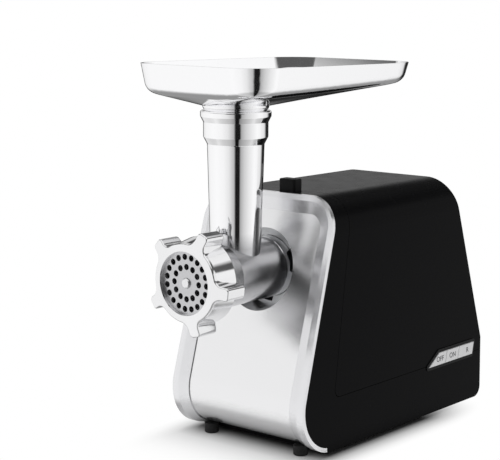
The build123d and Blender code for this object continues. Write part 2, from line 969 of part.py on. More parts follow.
nut_slope = lug_setback / (lug_tip_radius - lip_radius)
with BuildPart() as ring_nut:
    with BuildSketch(facing_front(nut_face)) as nut_star:
        with Locations((0, head_axis)):
            Circle(nut_front_radius)
            with PolarLocations(0, lug_count, start_angle=lug_phase):
                Rectangle(lug_tip_radius, lug_width, align=(Align.MIN, Align.CENTER))
        axis_point = Vector(0, head_axis, 0)
        by_radius = sorted(nut_star.vertices(), key=lambda corner: (corner.center() - axis_point).length)
        fillet(by_radius[-2 * lug_count:], lug_tip_fillet)
        by_radius = sorted(nut_star.vertices(), key=lambda corner: (corner.center() - axis_point).length)
        fillet(by_radius[: 2 * lug_count], lug_root_radius)
    extrude(amount=nut_face - nut_end)
    fillet(ring_nut.edges().group_by(Axis.Y)[-1], nut_edge_radius)
    # The front is one shallow cone, from the opening out to the lugs' tips.
    turned(
        [
            (nut_face, lip_radius),
            (nut_face + nut_slope * (2 * lug_tip_radius - lip_radius), 2 * lug_tip_radius),
            (nut_end, 2 * lug_tip_radius),
        ],
        mode=Mode.INTERSECT,
    )
    nut_front = ring_nut.faces().filter_by(GeomType.CONE).sort_by(Axis.Y)[0]
    fillet(nut_front.edges().sort_by(Axis.Y)[1:], nut_edge_radius)
    # Behind its front edge the body widens towards the rear.
    turned(
        [
            (nut_face + lug_setback, nut_front_radius - touch),
            (nut_end - nut_edge_radius, nut_radius),
            (nut_end, nut_radius - nut_edge_radius),
        ]
    )
    rod(nut_face, nut_face + lip_thickness, lip_radius, (0, head_axis), Mode.SUBTRACT)
    rod(nut_face + lip_thickness, nut_end, nut_bore, (0, head_axis), Mode.SUBTRACT)
    rod(thread_end, nut_end, nut_bore + thread_relief, (0, head_axis), Mode.SUBTRACT)
finish(ring_nut, "ring_nut")


def disc_holes(count, circle):
    """One ring of holes in the cutting plate."""
    with BuildSketch(facing_front(disc_front)) as holes:
        with Locations((0, head_axis)):
            with PolarLocations(circle, count):
                Circle(disc_hole_radius)
    extrude(holes.sketch, amount=-disc_thickness, mode=Mode.SUBTRACT)


with BuildPart() as cutting_plate:
    rod(disc_front, disc_back, disc_radius, (0, head_axis))
    disc_holes(outer_hole_count, outer_hole_circle)
    disc_holes(inner_hole_count, inner_hole_circle)
    rod(disc_front, disc_back, disc_pin_radius + disc_pin_fit, (0, head_axis), Mode.SUBTRACT)
finish(cutting_plate, "cutting_plate")

blade_front = disc_back + gap
with BuildPart() as cross_blade:
    with BuildSketch(facing_front(blade_front)):
        with Locations((0, head_axis)):
            Circle(hub_radius)
            with PolarLocations(0, 4, start_angle=blade_phase):
                Trapezoid(blade_radius, blade_arm_width, blade_taper, align=(Align.MIN, Align.CENTER))
            Circle(blade_radius, mode=Mode.INTERSECT)
            Rectangle(square_size, square_size, mode=Mode.SUBTRACT)
    extrude(amount=-blade_thickness)
finish(cross_blade, "cross_blade")

flight_radius = bore_radius - 2 * gap
flight_rear_radius = rear_bore_radius - 2 * gap
flight_length = flight_end - flight_start
flight_half_angle = 180 * flight_thickness / flight_pitch
flight_centre = Vector(0, nut_face + flight_start, head_axis)

wedge_x = 2 * flight_radius * cos(radians(flight_half_angle))
wedge_z = 2 * flight_radius * sin(radians(flight_half_angle))

with BuildSketch(facing_front(nut_face + flight_start)) as flight_section:
    with Locations((0, head_axis)):
        Polygon((0, 0), (wedge_x, -wedge_z), (wedge_x, wedge_z), align=None)
        Circle(flight_radius + gap, mode=Mode.INTERSECT)
        Circle(auger_front_radius / 2, mode=Mode.SUBTRACT)

with BuildPart() as auger_flight:
    # The flight is its section across the axis, pushed along the axis while it turns.
    add(
        Solid.extrude_linear_with_rotation(
            flight_section.sketch.faces()[0],
            center=flight_centre,
            normal=Vector(0, flight_length, 0),
            angle=360 * flight_length / flight_pitch,
        )
    )
    turned(
        [
            (nut_face + flight_start, flight_radius),
            (tube_y - tube_radius, flight_radius),
            (nut_face + flight_end, flight_rear_radius),
        ],
        mode=Mode.INTERSECT,
    )

journal_y = nut_face + journal_end
with BuildPart() as auger:
    turned([(nut_face + auger_start, auger_front_radius), (nut_face + auger_end, auger_rear_radius)])
    add(auger_flight.part)
    rod(nut_face + auger_end, journal_y, journal_radius, (0, head_axis))
    rod(disc_front - disc_pin_stand, nut_face + auger_start, disc_pin_radius, (0, head_axis))
    chamfer(auger.edges().group_by(Axis.Y)[0], disc_pin_chamfer)
    with BuildSketch(facing_front(blade_front)):
        with Locations((0, head_axis)):
            Rectangle(square_size, square_size)
    extrude(amount=blade_front - (nut_face + auger_start))
    with BuildSketch(facing_front(journal_y)):
        with Locations((0, head_axis)):
            Rectangle(square_size, square_size)
    extrude(amount=journal_end - tail_end)
    rod(journal_y, nut_face + tail_end, coupling_screw_radius, (0, head_axis), Mode.SUBTRACT)
finish(auger, "auger")

with BuildPart() as auger_coupling:
    with BuildSketch(facing_front(journal_y)):
        with Locations((0, head_axis)):
            RegularPolygon(coupling_flats / 2, 6, major_radius=False)
    extrude(amount=journal_end - coupling_end)
    with BuildSketch(facing_front(journal_y)):
        with Locations((0, head_axis)):
            Rectangle(square_size, square_size)
    extrude(amount=journal_end - tail_end, mode=Mode.SUBTRACT)
    rod(nut_face + tail_end, nut_face + coupling_end, 2 * coupling_screw_radius, (0, head_axis), Mode.SUBTRACT)
finish(auger_coupling, "auger_coupling")

with BuildPart() as coupling_screw:
    rod(journal_y, nut_face + tail_end, coupling_screw_radius, (0, head_axis))
    rod(nut_face + tail_end, nut_face + coupling_end, 2 * coupling_screw_radius, (0, head_axis))
finish(coupling_screw, "coupling_screw")

# ---------------------------------------------------------------- tray


def tray_body(sheet):
    """The tray's outer shape, set in by a sheet's thickness, with its funnel down to the neck."""
    rear_rise = (tray_front_depth - tray_rear_depth) / tray_length
    floor_plane = Plane(
        origin=(0, tray_y, tray_height - (tray_front_depth + tray_rear_depth) / 2 + sheet),
        x_dir=(1, 0, 0),
        z_dir=(0, -rear_rise, 1),
    )
    with BuildPart() as shape:
        with BuildSketch(Plane((0, tray_y, tray_height))) as rim:
            RectangleRounded(tray_width - 2 * sheet, tray_length - 2 * sheet, tray_corner_radius - sheet)
        with BuildSketch(floor_plane) as floor:
            RectangleRounded(
                tray_width - 2 * (sheet + tray_flare),
                tray_length - 2 * (sheet + tray_flare),
                tray_corner_radius - sheet - tray_flare,
            )
        loft([rim.sketch, floor.sketch])
        with BuildSketch(Plane((0, tube_y, neck_top + sheet))) as mouth:
            Circle(neck_radius - sheet)
        loft([floor.sketch, mouth.sketch])
        bend = shape.edges().filter_by(lambda edge: abs(floor_plane.to_local_coords(edge.center()).Z) < touch)
        fillet(bend, tray_bend_radius - sheet)
    return shape.part.rotate(Axis((0, tube_y, 0), (0, 0, 1)), tray_turn)


neck_inner = tube_radius_at(cup_base) - tube_wall
tray_inside = tray_body(tray_sheet)
with BuildPart() as tray_pan:
    add(tray_body(0.0))
    add(tray_inside, mode=Mode.SUBTRACT)
    turned_up([(neck_inner, neck_top), (neck_inner, neck_top + 2 * tray_sheet)], mode=Mode.SUBTRACT)
finish(tray_pan, "tray_pan")

neck_spigot = cup_radius - cup_wall - gap
neck_foot = cup_floor + wall
with BuildPart() as tray_neck:
    turned_up(
        [
            (neck_spigot, neck_foot),
            (neck_spigot, cup_top + gap / 2),
            (neck_radius - tray_sheet, cup_top + gap / 2),
            (neck_radius, cup_top + wall),
            (neck_radius, neck_top),
        ]
    )
    turned_up([(neck_inner, neck_foot), (neck_inner, neck_top)], mode=Mode.SUBTRACT)
finish(tray_neck, "tray_neck")

# ---------------------------------------------------------------- socket and lock

lever_pivot = (lever_pivot_x, lever_pivot_height)
rivet_places = [(lever_pivot_x + side * rivet_spacing / 2, rivet_height) for side in (-1, 1)]

with BuildPart() as head_socket:
    turned(
        [
            (socket_y, socket_hole_radius + wall),
            (socket_y + socket_floor, socket_hole_radius + wall),
            (socket_y + socket_floor, tab_radius + 2 * gap + socket_skirt_wall),
            (flange_y, tab_radius + 2 * gap + socket_skirt_wall),
            (flange_y, socket_flange_radius),
            (cover_y, socket_flange_radius),
        ]
    )
    rod(socket_y, socket_y + socket_floor, spigot_radius + gap, (0, head_axis), Mode.SUBTRACT)
    rod(socket_y + socket_floor, cover_y, tab_radius + 2 * gap, (0, head_axis), Mode.SUBTRACT)
    # The tabs pass the floor here when the head is turned to the end of its twist.
    extrude(
        tab_section(socket_y, tab_width + 4 * gap, tab_radius + gap, spigot_radius, twist_angle),
        amount=-socket_floor,
        mode=Mode.SUBTRACT,
    )
    with BuildSketch(facing_front(flange_y)):
        with Locations((0, head_axis)):
            with PolarLocations(socket_screw_circle, 4, start_angle=45):
                Circle(screw_radius)
    extrude(amount=-socket_flange, mode=Mode.SUBTRACT)
    for place in rivet_places:
        rod(flange_y, cover_y, rivet_radius, place, Mode.SUBTRACT)
    # Window for the lock lever's tooth
    block(
        (lever_tooth_left - 3 * lock_travel, lever_tooth_right + lock_travel),
        (nut_face + lever_setback - gap, nut_face + lever_setback + lever_plate + gap),
        (head_axis, head_axis + socket_flange_radius),
        Mode.SUBTRACT,
    )
finish(head_socket, "head_socket")

socket_screw_end = cover_y + cover_thickness - touch
with BuildPart() as socket_screws:
    with BuildSketch(facing_front(flange_y)):
        with Locations((0, head_axis)):
            with PolarLocations(socket_screw_circle, 4, start_angle=45):
                Circle(screw_head_radius)
    extrude(amount=screw_head_height)
    with BuildSketch(facing_front(flange_y)):
        with Locations((0, head_axis)):
            with PolarLocations(socket_screw_circle, 4, start_angle=45):
                Circle(screw_radius)
    extrude(amount=flange_y - socket_screw_end)
finish(socket_screws, "socket_screws")

flange_top = housing_top - wall - touch
flange_bottom = flange_top - lock_flange
stem_y = nut_face + lock_stem_setback
with BuildPart() as lock_button:
    block(
        (lock_x - lock_button_across / 2, lock_x + lock_button_across / 2),
        (lock_y - lock_button_along / 2, lock_y + lock_button_along / 2),
        (flange_bottom, housing_top + lock_button_above),
    )
    fillet(lock_button.edges().filter_by(Axis.Z), lock_button_corner)
    fillet(lock_button.faces().sort_by(Axis.Z)[-1].edges(), lock_button_edge)
    block(
        (lock_x - lock_button_across / 2 - wall, lock_x + lock_button_across / 2 + wall),
        (lock_y - lock_button_along / 2 + 2 * gap, lock_y + lock_button_along / 2),
        (flange_bottom, flange_top),
    )
    with BuildSketch(Plane.XY.offset(lock_stem_tip + lock_stem_radius)):
        with Locations((lock_x, stem_y)):
            Circle(lock_stem_radius)
    extrude(amount=flange_bottom - lock_stem_tip - lock_stem_radius)
    with Locations((lock_x, stem_y, lock_stem_tip + lock_stem_radius)):
        Sphere(lock_stem_radius)
finish(lock_button, "lock_button")

shelf_top = shelf_height + bracket_plate
spring_pitch = (flange_bottom - shelf_top - spring_wire - 2 * touch) / spring_turns
spring_base = Vector(lock_x, stem_y, shelf_top + spring_wire / 2 + touch)
with BuildPart() as lock_spring:
    with BuildLine():
        coil = Helix(spring_pitch, spring_pitch * spring_turns, spring_radius, spring_base)
    with BuildSketch(Plane(coil @ 0, z_dir=coil % 0)):
        Circle(spring_wire / 2)
    sweep(is_frenet=True)
finish(lock_spring, "lock_spring")

lever_y = nut_face + lever_setback
arm_low = lever_pivot_height - lever_arm_thickness / 4
arm_high = arm_low + lever_arm_thickness
with BuildPart() as lock_lever:
    with BuildSketch(facing_front(lever_y)):
        with Locations(lever_pivot):
            Circle(lever_boss_radius)
        with BuildLine():
            Polyline(
                (lever_tooth_left, lever_tooth_tip),
                (lever_tooth_right, lever_tooth_tip),
                (lever_tooth_right, arm_low),
                (lock_x + lever_boss_radius / 2, arm_low),
                (lock_x + lever_boss_radius / 2, arm_high),
                (lever_tooth_left, arm_high),
                close=True,
            )
        make_face()
        with Locations(lever_pivot):
            Circle(lever_pin_radius + running, mode=Mode.SUBTRACT)
    extrude(amount=-lever_plate)
finish(lock_lever, "lock_lever")

with BuildPart() as lock_bracket:
    block(
        (lever_pivot_x - 2 * lever_boss_radius, lock_x + 1.5 * lever_boss_radius),
        (flange_y - bracket_plate, flange_y),
        (lever_pivot_height - 2 * lever_boss_radius, shelf_top),
    )
    block(
        (lever_pivot_x + lever_boss_radius / 2, lock_x + 1.5 * lever_boss_radius),
        (stem_y - 1.2 * lever_boss_radius, flange_y),
        (shelf_height, shelf_top),
    )
    block(
        (lever_pivot_x + 1.5 * lever_boss_radius, lock_x + 2 * lever_boss_radius),
        (flange_y - bracket_plate, flange_y),
        (lever_pivot_height - 3 * lever_boss_radius, shelf_height),
        Mode.SUBTRACT,
    )
    rod(lever_y - pin_end, flange_y, lever_pin_radius, lever_pivot)
    with BuildSketch(Plane.XY.offset(shelf_height)):
        with Locations((lock_x, stem_y)):
            Circle(lock_stem_radius + gap)
    extrude(amount=bracket_plate, mode=Mode.SUBTRACT)
    for place in rivet_places:
        rod(flange_y, cover_y, rivet_radius, place)
finish(lock_bracket, "lock_bracket")

# ---------------------------------------------------------------- gearbox


def along(start, reach, towards, from_reach):
    """Point at one distance from start and another from towards, on the right-hand side."""
    across, up = towards[0] - start[0], towards[1] - start[1]
    span = hypot(across, up)
    forward = (reach**2 - from_reach**2 + span**2) / (2 * span)
    side = sqrt(reach**2 - forward**2)
    x = start[0] + (forward * across + side * up) / span
    z = start[1] + (forward * up - side * across) / span
    return (x, z)


def angle_to(start, end):
    """Direction from one axis to another, seen from the front."""
    return degrees(atan2(end[1] - start[1], end[0] - start[0]))


first_distance = first_module * (pinion_teeth + first_teeth) / 2
second_distance = second_module * (pinion_teeth + second_teeth) / 2
third_distance = third_module * (pinion_teeth + third_teeth) / 2
motor_axis = (0.0, motor_height)
output_axis = (0.0, head_axis)
first_axis = (
    -intermediate_offset,
    motor_height + sqrt(first_distance**2 - intermediate_offset**2),
)
second_axis = along(first_axis, second_distance, output_axis, third_distance)

third_y = case_y + gear_side_gap
second_y = third_y + third_face + gear_side_gap
first_y = second_y + second_face + gear_side_gap
case_floor = first_y + first_face + 2 * gear_side_gap
case_back = case_floor + case_wall


def involute_gear(teeth, module, centre, first_tooth, start, face, addendum, dedendum):
    """Spur gear along Y with one tooth pointing at the angle first_tooth, seen from the front."""
    pressure = radians(pressure_angle)
    pitch = teeth * module / 2
    base = pitch * cos(pressure)
    root = pitch - dedendum * module
    tip = pitch + addendum * module
    half_tooth = pi / (2 * teeth) - gear_backlash / (2 * pitch)

    def flank_angle(radius):
        roll = acos(min(1.0, base / radius))
        return half_tooth + tan(pressure) - pressure - (tan(roll) - roll)

    flank_start = max(base, root)
    steps = 4
    flank = [flank_start + (tip - flank_start) * step / steps for step in range(steps + 1)]
    if root < base:
        flank = [root, *flank]
    outline = []
    for tooth in range(teeth):
        middle = radians(first_tooth) + 2 * pi * tooth / teeth
        rising = [(radius, middle - flank_angle(radius)) for radius in flank]
        falling = [(radius, middle + flank_angle(radius)) for radius in reversed(flank)]
        outline += [(r * cos(a) + centre[0], r * sin(a) + centre[1]) for r, a in rising + falling]
    with BuildSketch(facing_front(start)) as section:
        Polygon(*outline, align=None)
    extrude(section.sketch, amount=-face)


def pinion(module, centre, towards, start, face):
    """Small gear of a stage, with a tooth pointing at its wheel."""
    involute_gear(pinion_teeth, module, centre, angle_to(centre, towards), start, face, pinion_addendum, pinion_dedendum)


def wheel(teeth, module, centre, towards, start, face):
    """Large gear of a stage, with a gap pointing at its pinion."""
    direction = angle_to(centre, towards) + 180 / teeth
    involute_gear(teeth, module, centre, direction, start, face, wheel_addendum, wheel_dedendum)


def web_recess(teeth, module, centre, hub, start, face):
    """Recesses that leave a thin web between the hub and the rim."""
    rim = teeth * module / 2 - rim_modules * module
    depth = (face - gear_web) / 2
    for from_y, to_y in ((start, start + depth), (start + face - depth, start + face)):
        with BuildSketch(facing_front(from_y)) as section:
            with Locations(centre):
                Circle(rim)
                Circle(hub, mode=Mode.SUBTRACT)
        extrude(section.sketch, amount=from_y - to_y, mode=Mode.SUBTRACT)


with BuildPart() as motor_pinion:
    pinion(first_module, motor_axis, first_axis, first_y - gap, first_face + 2 * gap)
    rod(first_y - gap, first_y + first_face + gap, pinion_bore, motor_axis, Mode.SUBTRACT)
finish(motor_pinion, "motor_pinion")

second_pinion_root = second_module * (pinion_teeth / 2 - pinion_dedendum)
third_pinion_root = third_module * (pinion_teeth / 2 - pinion_dedendum)
with BuildPart() as first_gear:
    wheel(first_teeth, first_module, first_axis, motor_axis, first_y, first_face)
    web_recess(first_teeth, first_module, first_axis, 2 * gear_pin_radius, first_y, first_face)
    rod(second_y + second_face, first_y, second_pinion_root, first_axis)
    pinion(second_module, first_axis, second_axis, second_y, second_face)
    rod(second_y, case_floor, gear_pin_radius + running, first_axis, Mode.SUBTRACT)
finish(first_gear, "first_gear")

with BuildPart() as second_gear:
    wheel(second_teeth, second_module, second_axis, first_axis, second_y, second_face)
    web_recess(second_teeth, second_module, second_axis, 2 * gear_pin_radius, second_y, second_face)
    rod(third_y + third_face, second_y, third_pinion_root, second_axis)
    pinion(third_module, second_axis, output_axis, third_y, third_face)
    rod(third_y, case_floor, gear_pin_radius + running, second_axis, Mode.SUBTRACT)
finish(second_gear, "second_gear")

with BuildPart() as output_gear:
    wheel(third_teeth, third_module, output_axis, second_axis, third_y, third_face)
    web_recess(third_teeth, third_module, output_axis, 2 * output_shaft_radius, third_y, third_face)
    rod(third_y, third_y + third_face, output_shaft_radius, output_axis, Mode.SUBTRACT)
finish(output_gear, "output_gear")

first_tip = first_module * (first_teeth / 2 + wheel_addendum)
second_tip = second_module * (second_teeth / 2 + wheel_addendum)


def case_outline(plane, margin):
    """Hull round the four axes' gears, with a margin."""
    with BuildSketch(plane) as outline:
        for centre, tip in (
            (motor_axis, 2 * pinion_bore),
            (first_axis, first_tip),
            (second_axis, second_tip),
            (output_axis, third_tip),
        ):
            with Locations(centre):
                Circle(tip + margin)
        make_hull()
    return outline.sketch


def ears(y, thickness):
    """Screw ears at the four corners, with bars that join them to the case."""
    for place in ear_places:
        rod(y, y + thickness, ear_radius, place)
        anchor = output_axis if place[1] > head_axis else motor_axis
        middle = ((place[0] + anchor[0]) / 2, (place[1] + anchor[1]) / 2)
        with BuildSketch(facing_front(y)) as section:
            with Locations(Location(middle, angle_to(anchor, place))):
                Rectangle(hypot(place[0] - anchor[0], place[1] - anchor[1]), ear_bar * ear_radius)
        extrude(section.sketch, amount=-thickness)


bearing_seat = case_y - output_bearing_width
boss_y = bearing_seat - bearing_shoulder
pin_start = cover_y + cover_thickness / 4
with BuildPart() as gearbox_cover:
    extrude(case_outline(facing_front(cover_y), case_gap + case_wall), amount=-cover_thickness)
    ears(cover_y, cover_thickness)
    rod(boss_y, cover_y, output_bearing_radius + case_wall, output_axis)
    rod(bearing_seat, case_y, output_bearing_radius, output_axis, Mode.SUBTRACT)
    rod(boss_y, bearing_seat, output_bearing_radius - case_wall, output_axis, Mode.SUBTRACT)
    for place in ear_places:
        rod(cover_y, case_y, screw_radius, place, Mode.SUBTRACT)
    for axis in (first_axis, second_axis):
        rod(pin_start, case_y, gear_pin_radius, axis, Mode.SUBTRACT)
    with BuildSketch(facing_front(cover_y)):
        with Locations(output_axis):
            with PolarLocations(socket_screw_circle, 4, start_angle=45):
                Circle(screw_radius)
    extrude(amount=-cover_thickness + touch, mode=Mode.SUBTRACT)
finish(gearbox_cover, "gearbox_cover")

output_boss = output_shaft_radius + 2 * case_wall
with BuildPart() as gearbox_case:
    extrude(case_outline(facing_front(case_y), case_gap + case_wall), amount=case_y - case_back)
    ears(case_y, cover_thickness)
    extrude(case_outline(facing_front(case_y), case_gap), amount=case_y - case_floor, mode=Mode.SUBTRACT)
    rod(case_floor - 2 * case_wall, case_floor, output_boss, output_axis)
    rod(case_floor - 2 * case_wall, case_back, output_shaft_radius + case_wall, output_axis, Mode.SUBTRACT)
    rod(case_floor, case_back, shaft_radius + shaft_play, motor_axis, Mode.SUBTRACT)
    for axis in (first_axis, second_axis):
        rod(case_floor, case_back, gear_pin_radius, axis, Mode.SUBTRACT)
    for place in ear_places:
        rod(case_y, case_y + cover_thickness, screw_radius, place, Mode.SUBTRACT)
finish(gearbox_case, "gearbox_case")

with BuildPart() as gearbox_screws:
    for place in ear_places:
        rod(case_y + cover_thickness, case_y + cover_thickness + screw_head_height, screw_head_radius, place)
        rod(cover_y - ear_screw_reach, case_y + cover_thickness, screw_radius, place)
finish(gearbox_screws, "gearbox_screws")

with BuildPart() as gear_pins:
    for axis in (first_axis, second_axis):
        rod(pin_start, case_back, gear_pin_radius, axis)
finish(gear_pins, "gear_pins")

drive_y = nut_face + drive_reach
with BuildPart() as output_shaft:
    rod(drive_y, case_back, output_shaft_radius, output_axis)
    rod(drive_y, boss_y - gap, drive_radius, output_axis)
    with BuildSketch(facing_front(drive_y)):
        with Locations(output_axis):
            RegularPolygon(coupling_flats / 2 + touch, 6, major_radius=False)
    extrude(amount=drive_reach - coupling_end - drive_socket_play, mode=Mode.SUBTRACT)
finish(output_shaft, "output_shaft")

with BuildPart() as output_bearing:
    rod(bearing_seat, case_y, output_bearing_radius, output_axis)
    rod(bearing_seat, case_y, output_shaft_radius + running, output_axis, Mode.SUBTRACT)
finish(output_bearing, "output_bearing")

with BuildPart() as output_bush:
    rod(case_floor - 2 * case_wall, case_back, output_shaft_radius + case_wall, output_axis)
    rod(case_floor - 2 * case_wall, case_back, output_shaft_radius + running, output_axis, Mode.SUBTRACT)
finish(output_bush, "output_bush")

# ---------------------------------------------------------------- motor

bracket_y = case_back
bearing_y = bracket_y + touch
front_boss_end = bearing_y + bearing_width + bearing_shoulder
fan_y = front_boss_end + gear_side_gap
coil_front = fan_y + fan_width + gear_side_gap / 2
stator_y = coil_front + coil_overhang
stator_end = stator_y + stator_length
coil_end = stator_end + coil_overhang
commutator_y = coil_end + gear_side_gap
commutator_end = commutator_y + commutator_length
rear_bracket_y = commutator_end + gear_side_gap + pad_lap
rear_bearing_y = rear_bracket_y + bracket_thickness - shaft_play
rear_bracket_end = rear_bracket_y + bracket_thickness
post_places = [
    (x, motor_height + z)
    for x in (motor_screw_inset - motor_width / 2, motor_width / 2 - motor_screw_inset)
    for z in (motor_screw_inset - motor_tall / 2, motor_tall / 2 - motor_screw_inset)
]


def motor_plate(start, thickness):
    """Rounded rectangle with the motor's outline, across the rotor's axis."""
    with BuildSketch(facing_front(start)) as section:
        with Locations(motor_axis):
            RectangleRounded(motor_width, motor_tall, motor_corner)
    extrude(section.sketch, amount=-thickness)


def post_holes(start, end):
    """Holes for the motor's long screws."""
    for place in post_places:
        rod(start, end, motor_screw_radius, place, Mode.SUBTRACT)


with BuildPart() as front_bracket:
    motor_plate(bracket_y, bracket_thickness)
    rod(bracket_y, front_boss_end, bearing_boss_radius, motor_axis)
    for place in post_places:
        rod(bracket_y, stator_y, post_radius, place)
    post_holes(bracket_y, stator_y)
    rod(bracket_y, bearing_y + bearing_width, bearing_radius, motor_axis, Mode.SUBTRACT)
    rod(bracket_y, front_boss_end, shaft_radius + shaft_play, motor_axis, Mode.SUBTRACT)
finish(front_bracket, "front_bracket")

foot_half_width = motor_width / 2 - motor_screw_inset
mount_x = foot_half_width - mount_across / 2
mount_y = rear_bracket_y + (bracket_thickness - mount_along) / 2
with BuildPart() as rear_bracket:
    motor_plate(rear_bracket_y, bracket_thickness)
    block(
        (-foot_half_width, foot_half_width),
        (rear_bracket_y, rear_bracket_end),
        (base_top + mount_high, motor_height),
    )
    rod(rear_bracket_y, rear_bearing_y + bearing_width + shaft_play, bearing_boss_radius, motor_axis)
    for place in post_places:
        rod(stator_end, rear_bracket_y, post_radius, place)
    # Pads that carry the brush holders
    for side in (-1, 1):
        pad_start = commutator_radius + pad_gap
        pad = sorted((side * pad_start, side * (pad_start + brush_reach)))
        block(
            pad,
            (commutator_end - pad_lap, rear_bracket_y),
            (motor_height - brush_height / 2 - holder_wall, motor_height + brush_height / 2 + holder_wall),
        )
    post_holes(stator_end, rear_bracket_end)
    rod(rear_bearing_y, rear_bearing_y + bearing_width + shaft_play, bearing_radius, motor_axis, Mode.SUBTRACT)
    rod(rear_bracket_y, rear_bearing_y, shaft_radius + shaft_play, motor_axis, Mode.SUBTRACT)
finish(rear_bracket, "rear_bracket")

for name, start in (("front_bearing", bearing_y), ("rear_bearing", rear_bearing_y)):
    with BuildPart() as bearing:
        rod(start, start + bearing_width, bearing_radius, motor_axis)
        rod(start, start + bearing_width, shaft_radius + running, motor_axis, Mode.SUBTRACT)
    finish(bearing, name)

shaft_end = rear_bearing_y + bearing_width + shaft_play
with BuildPart() as motor_shaft:
    rod(first_y - gap, shaft_end, pinion_bore, motor_axis)
    rod(first_y + first_face + 2 * gap, shaft_end, shaft_radius, motor_axis)
finish(motor_shaft, "motor_shaft")

with BuildPart() as cooling_fan:
    rod(fan_y, fan_y + fan_width, 2 * shaft_radius, motor_axis)
    rod(fan_y + fan_width - fan_sheet, fan_y + fan_width, fan_radius, motor_axis)
    with BuildSketch(facing_front(fan_y)):
        with Locations(motor_axis):
            with PolarLocations(0, fan_blade_count):
                with Locations((fan_radius / 2, 0)):
                    Rectangle(fan_radius, fan_sheet, rotation=fan_blade_angle)
            Circle(fan_radius, mode=Mode.INTERSECT)
            Circle(fan_radius / 2, mode=Mode.SUBTRACT)
    extrude(amount=-fan_width)
    rod(fan_y, fan_y + fan_width, shaft_radius, motor_axis, Mode.SUBTRACT)
finish(cooling_fan, "cooling_fan")

bore = rotor_radius + rotor_gap
shoe_outer = bore + pole_shoe
with BuildPart() as stator:
    motor_plate(stator_y, stator_length)
    with BuildSketch(facing_front(stator_y)):
        with Locations(motor_axis):
            RectangleRounded(motor_width - 2 * stator_yoke, motor_tall - 2 * stator_yoke, motor_corner / 2)
    extrude(amount=-stator_length, mode=Mode.SUBTRACT)
    with BuildSketch(facing_front(stator_y)):
        with Locations(motor_axis):
            Circle(shoe_outer)
            Rectangle(pole_width, motor_tall - 2 * stator_yoke)
            Rectangle(2 * shoe_outer, pole_width, mode=Mode.SUBTRACT)
            Circle(bore, mode=Mode.SUBTRACT)
    extrude(amount=-stator_length)
    post_holes(stator_y, stator_end)
finish(stator, "stator")

coil_outer = coil_inner + 2 * coil_leg
coil_edge = motor_tall / 2 - stator_yoke - touch
coil_heights = [
    (motor_height - coil_edge, motor_height - coil_edge + coil_height),
    (motor_height + coil_edge - coil_height, motor_height + coil_edge),
]
with BuildPart() as field_coils:
    for heights in coil_heights:
        block((-coil_outer / 2, coil_outer / 2), (coil_front, coil_end), heights)
    fillet(field_coils.edges().filter_by(Axis.Z), coil_leg / 2)
    for heights in coil_heights:
        block((-coil_inner / 2, coil_inner / 2), (stator_y, stator_end), heights, Mode.SUBTRACT)
finish(field_coils, "field_coils")

slot_middle = rotor_radius - slot_cover - slot_depth / 2
with BuildPart() as rotor_core:
    rod(stator_y, stator_end, rotor_radius, motor_axis)
    with BuildSketch(facing_front(stator_y)):
        with Locations(motor_axis):
            with PolarLocations(slot_middle, slot_count):
                Rectangle(slot_depth, slot_width)
            Circle(shaft_radius)
    extrude(amount=-stator_length, mode=Mode.SUBTRACT)
finish(rotor_core, "rotor_core")

with BuildPart() as rotor_windings:
    for start, end in ((coil_front + gap, stator_y), (stator_end, commutator_y)):
        rod(start, end, winding_radius, motor_axis)
    with BuildSketch(facing_front(stator_y)):
        with Locations(motor_axis):
            with PolarLocations(slot_middle, slot_count):
                Rectangle(slot_depth, slot_width)
    extrude(amount=-stator_length)
    rod(coil_front, commutator_y, shaft_radius, motor_axis, Mode.SUBTRACT)
finish(rotor_windings, "rotor_windings")

with BuildPart() as commutator:
    rod(commutator_y, commutator_end, commutator_radius, motor_axis)
    with BuildSketch(facing_front(commutator_y + gear_side_gap)):
        with Locations(motor_axis):
            with PolarLocations(commutator_radius, 2 * slot_count):
                Rectangle(commutator_cut_depth, commutator_cut)
    extrude(amount=-commutator_length, mode=Mode.SUBTRACT)
    rod(commutator_y, commutator_end, shaft_radius, motor_axis, Mode.SUBTRACT)
finish(commutator, "commutator")

brush_middle = commutator_end - pad_lap - holder_wall - brush_width / 2
brush_start = commutator_radius + touch


def brush_box(inner, outer, width, height, mode=Mode.ADD):
    """Pair of boxes on both sides of the commutator, between two distances from its axis."""
    for side in (-1, 1):
        block(
            sorted((side * inner, side * outer)),
            (brush_middle - width / 2, brush_middle + width / 2),
            (motor_height - height / 2, motor_height + height / 2),
            mode,
        )


with BuildPart() as carbon_brushes:
    brush_box(brush_start, brush_start + brush_reach, brush_width, brush_height)
finish(carbon_brushes, "carbon_brushes")

with BuildPart() as brush_holders:
    holder_start = commutator_radius + holder_gap
    holder_end = brush_start + brush_reach + 2 * holder_wall
    brush_box(holder_start, holder_end, brush_width + 2 * holder_wall, brush_height + 2 * holder_wall)
    brush_box(holder_start, brush_start + brush_reach, brush_width, brush_height, Mode.SUBTRACT)
finish(brush_holders, "brush_holders")

motor_head_radius = screw_head_radius + motor_head_extra
with BuildPart() as motor_screws:
    for place in post_places:
        rod(bracket_y, rear_bracket_end, motor_screw_radius, place)
        rod(rear_bracket_end, rear_bracket_end + screw_head_height, motor_head_radius, place)
finish(motor_screws, "motor_screws")

with BuildPart() as motor_mounts:
    for x in (-mount_x, mount_x):
        block(
            (x - mount_across / 2, x + mount_across / 2),
            (mount_y, mount_y + mount_along),
            (base_top, base_top + mount_high),
        )
finish(motor_mounts, "motor_mounts")

# ---------------------------------------------------------------- switches and electrics

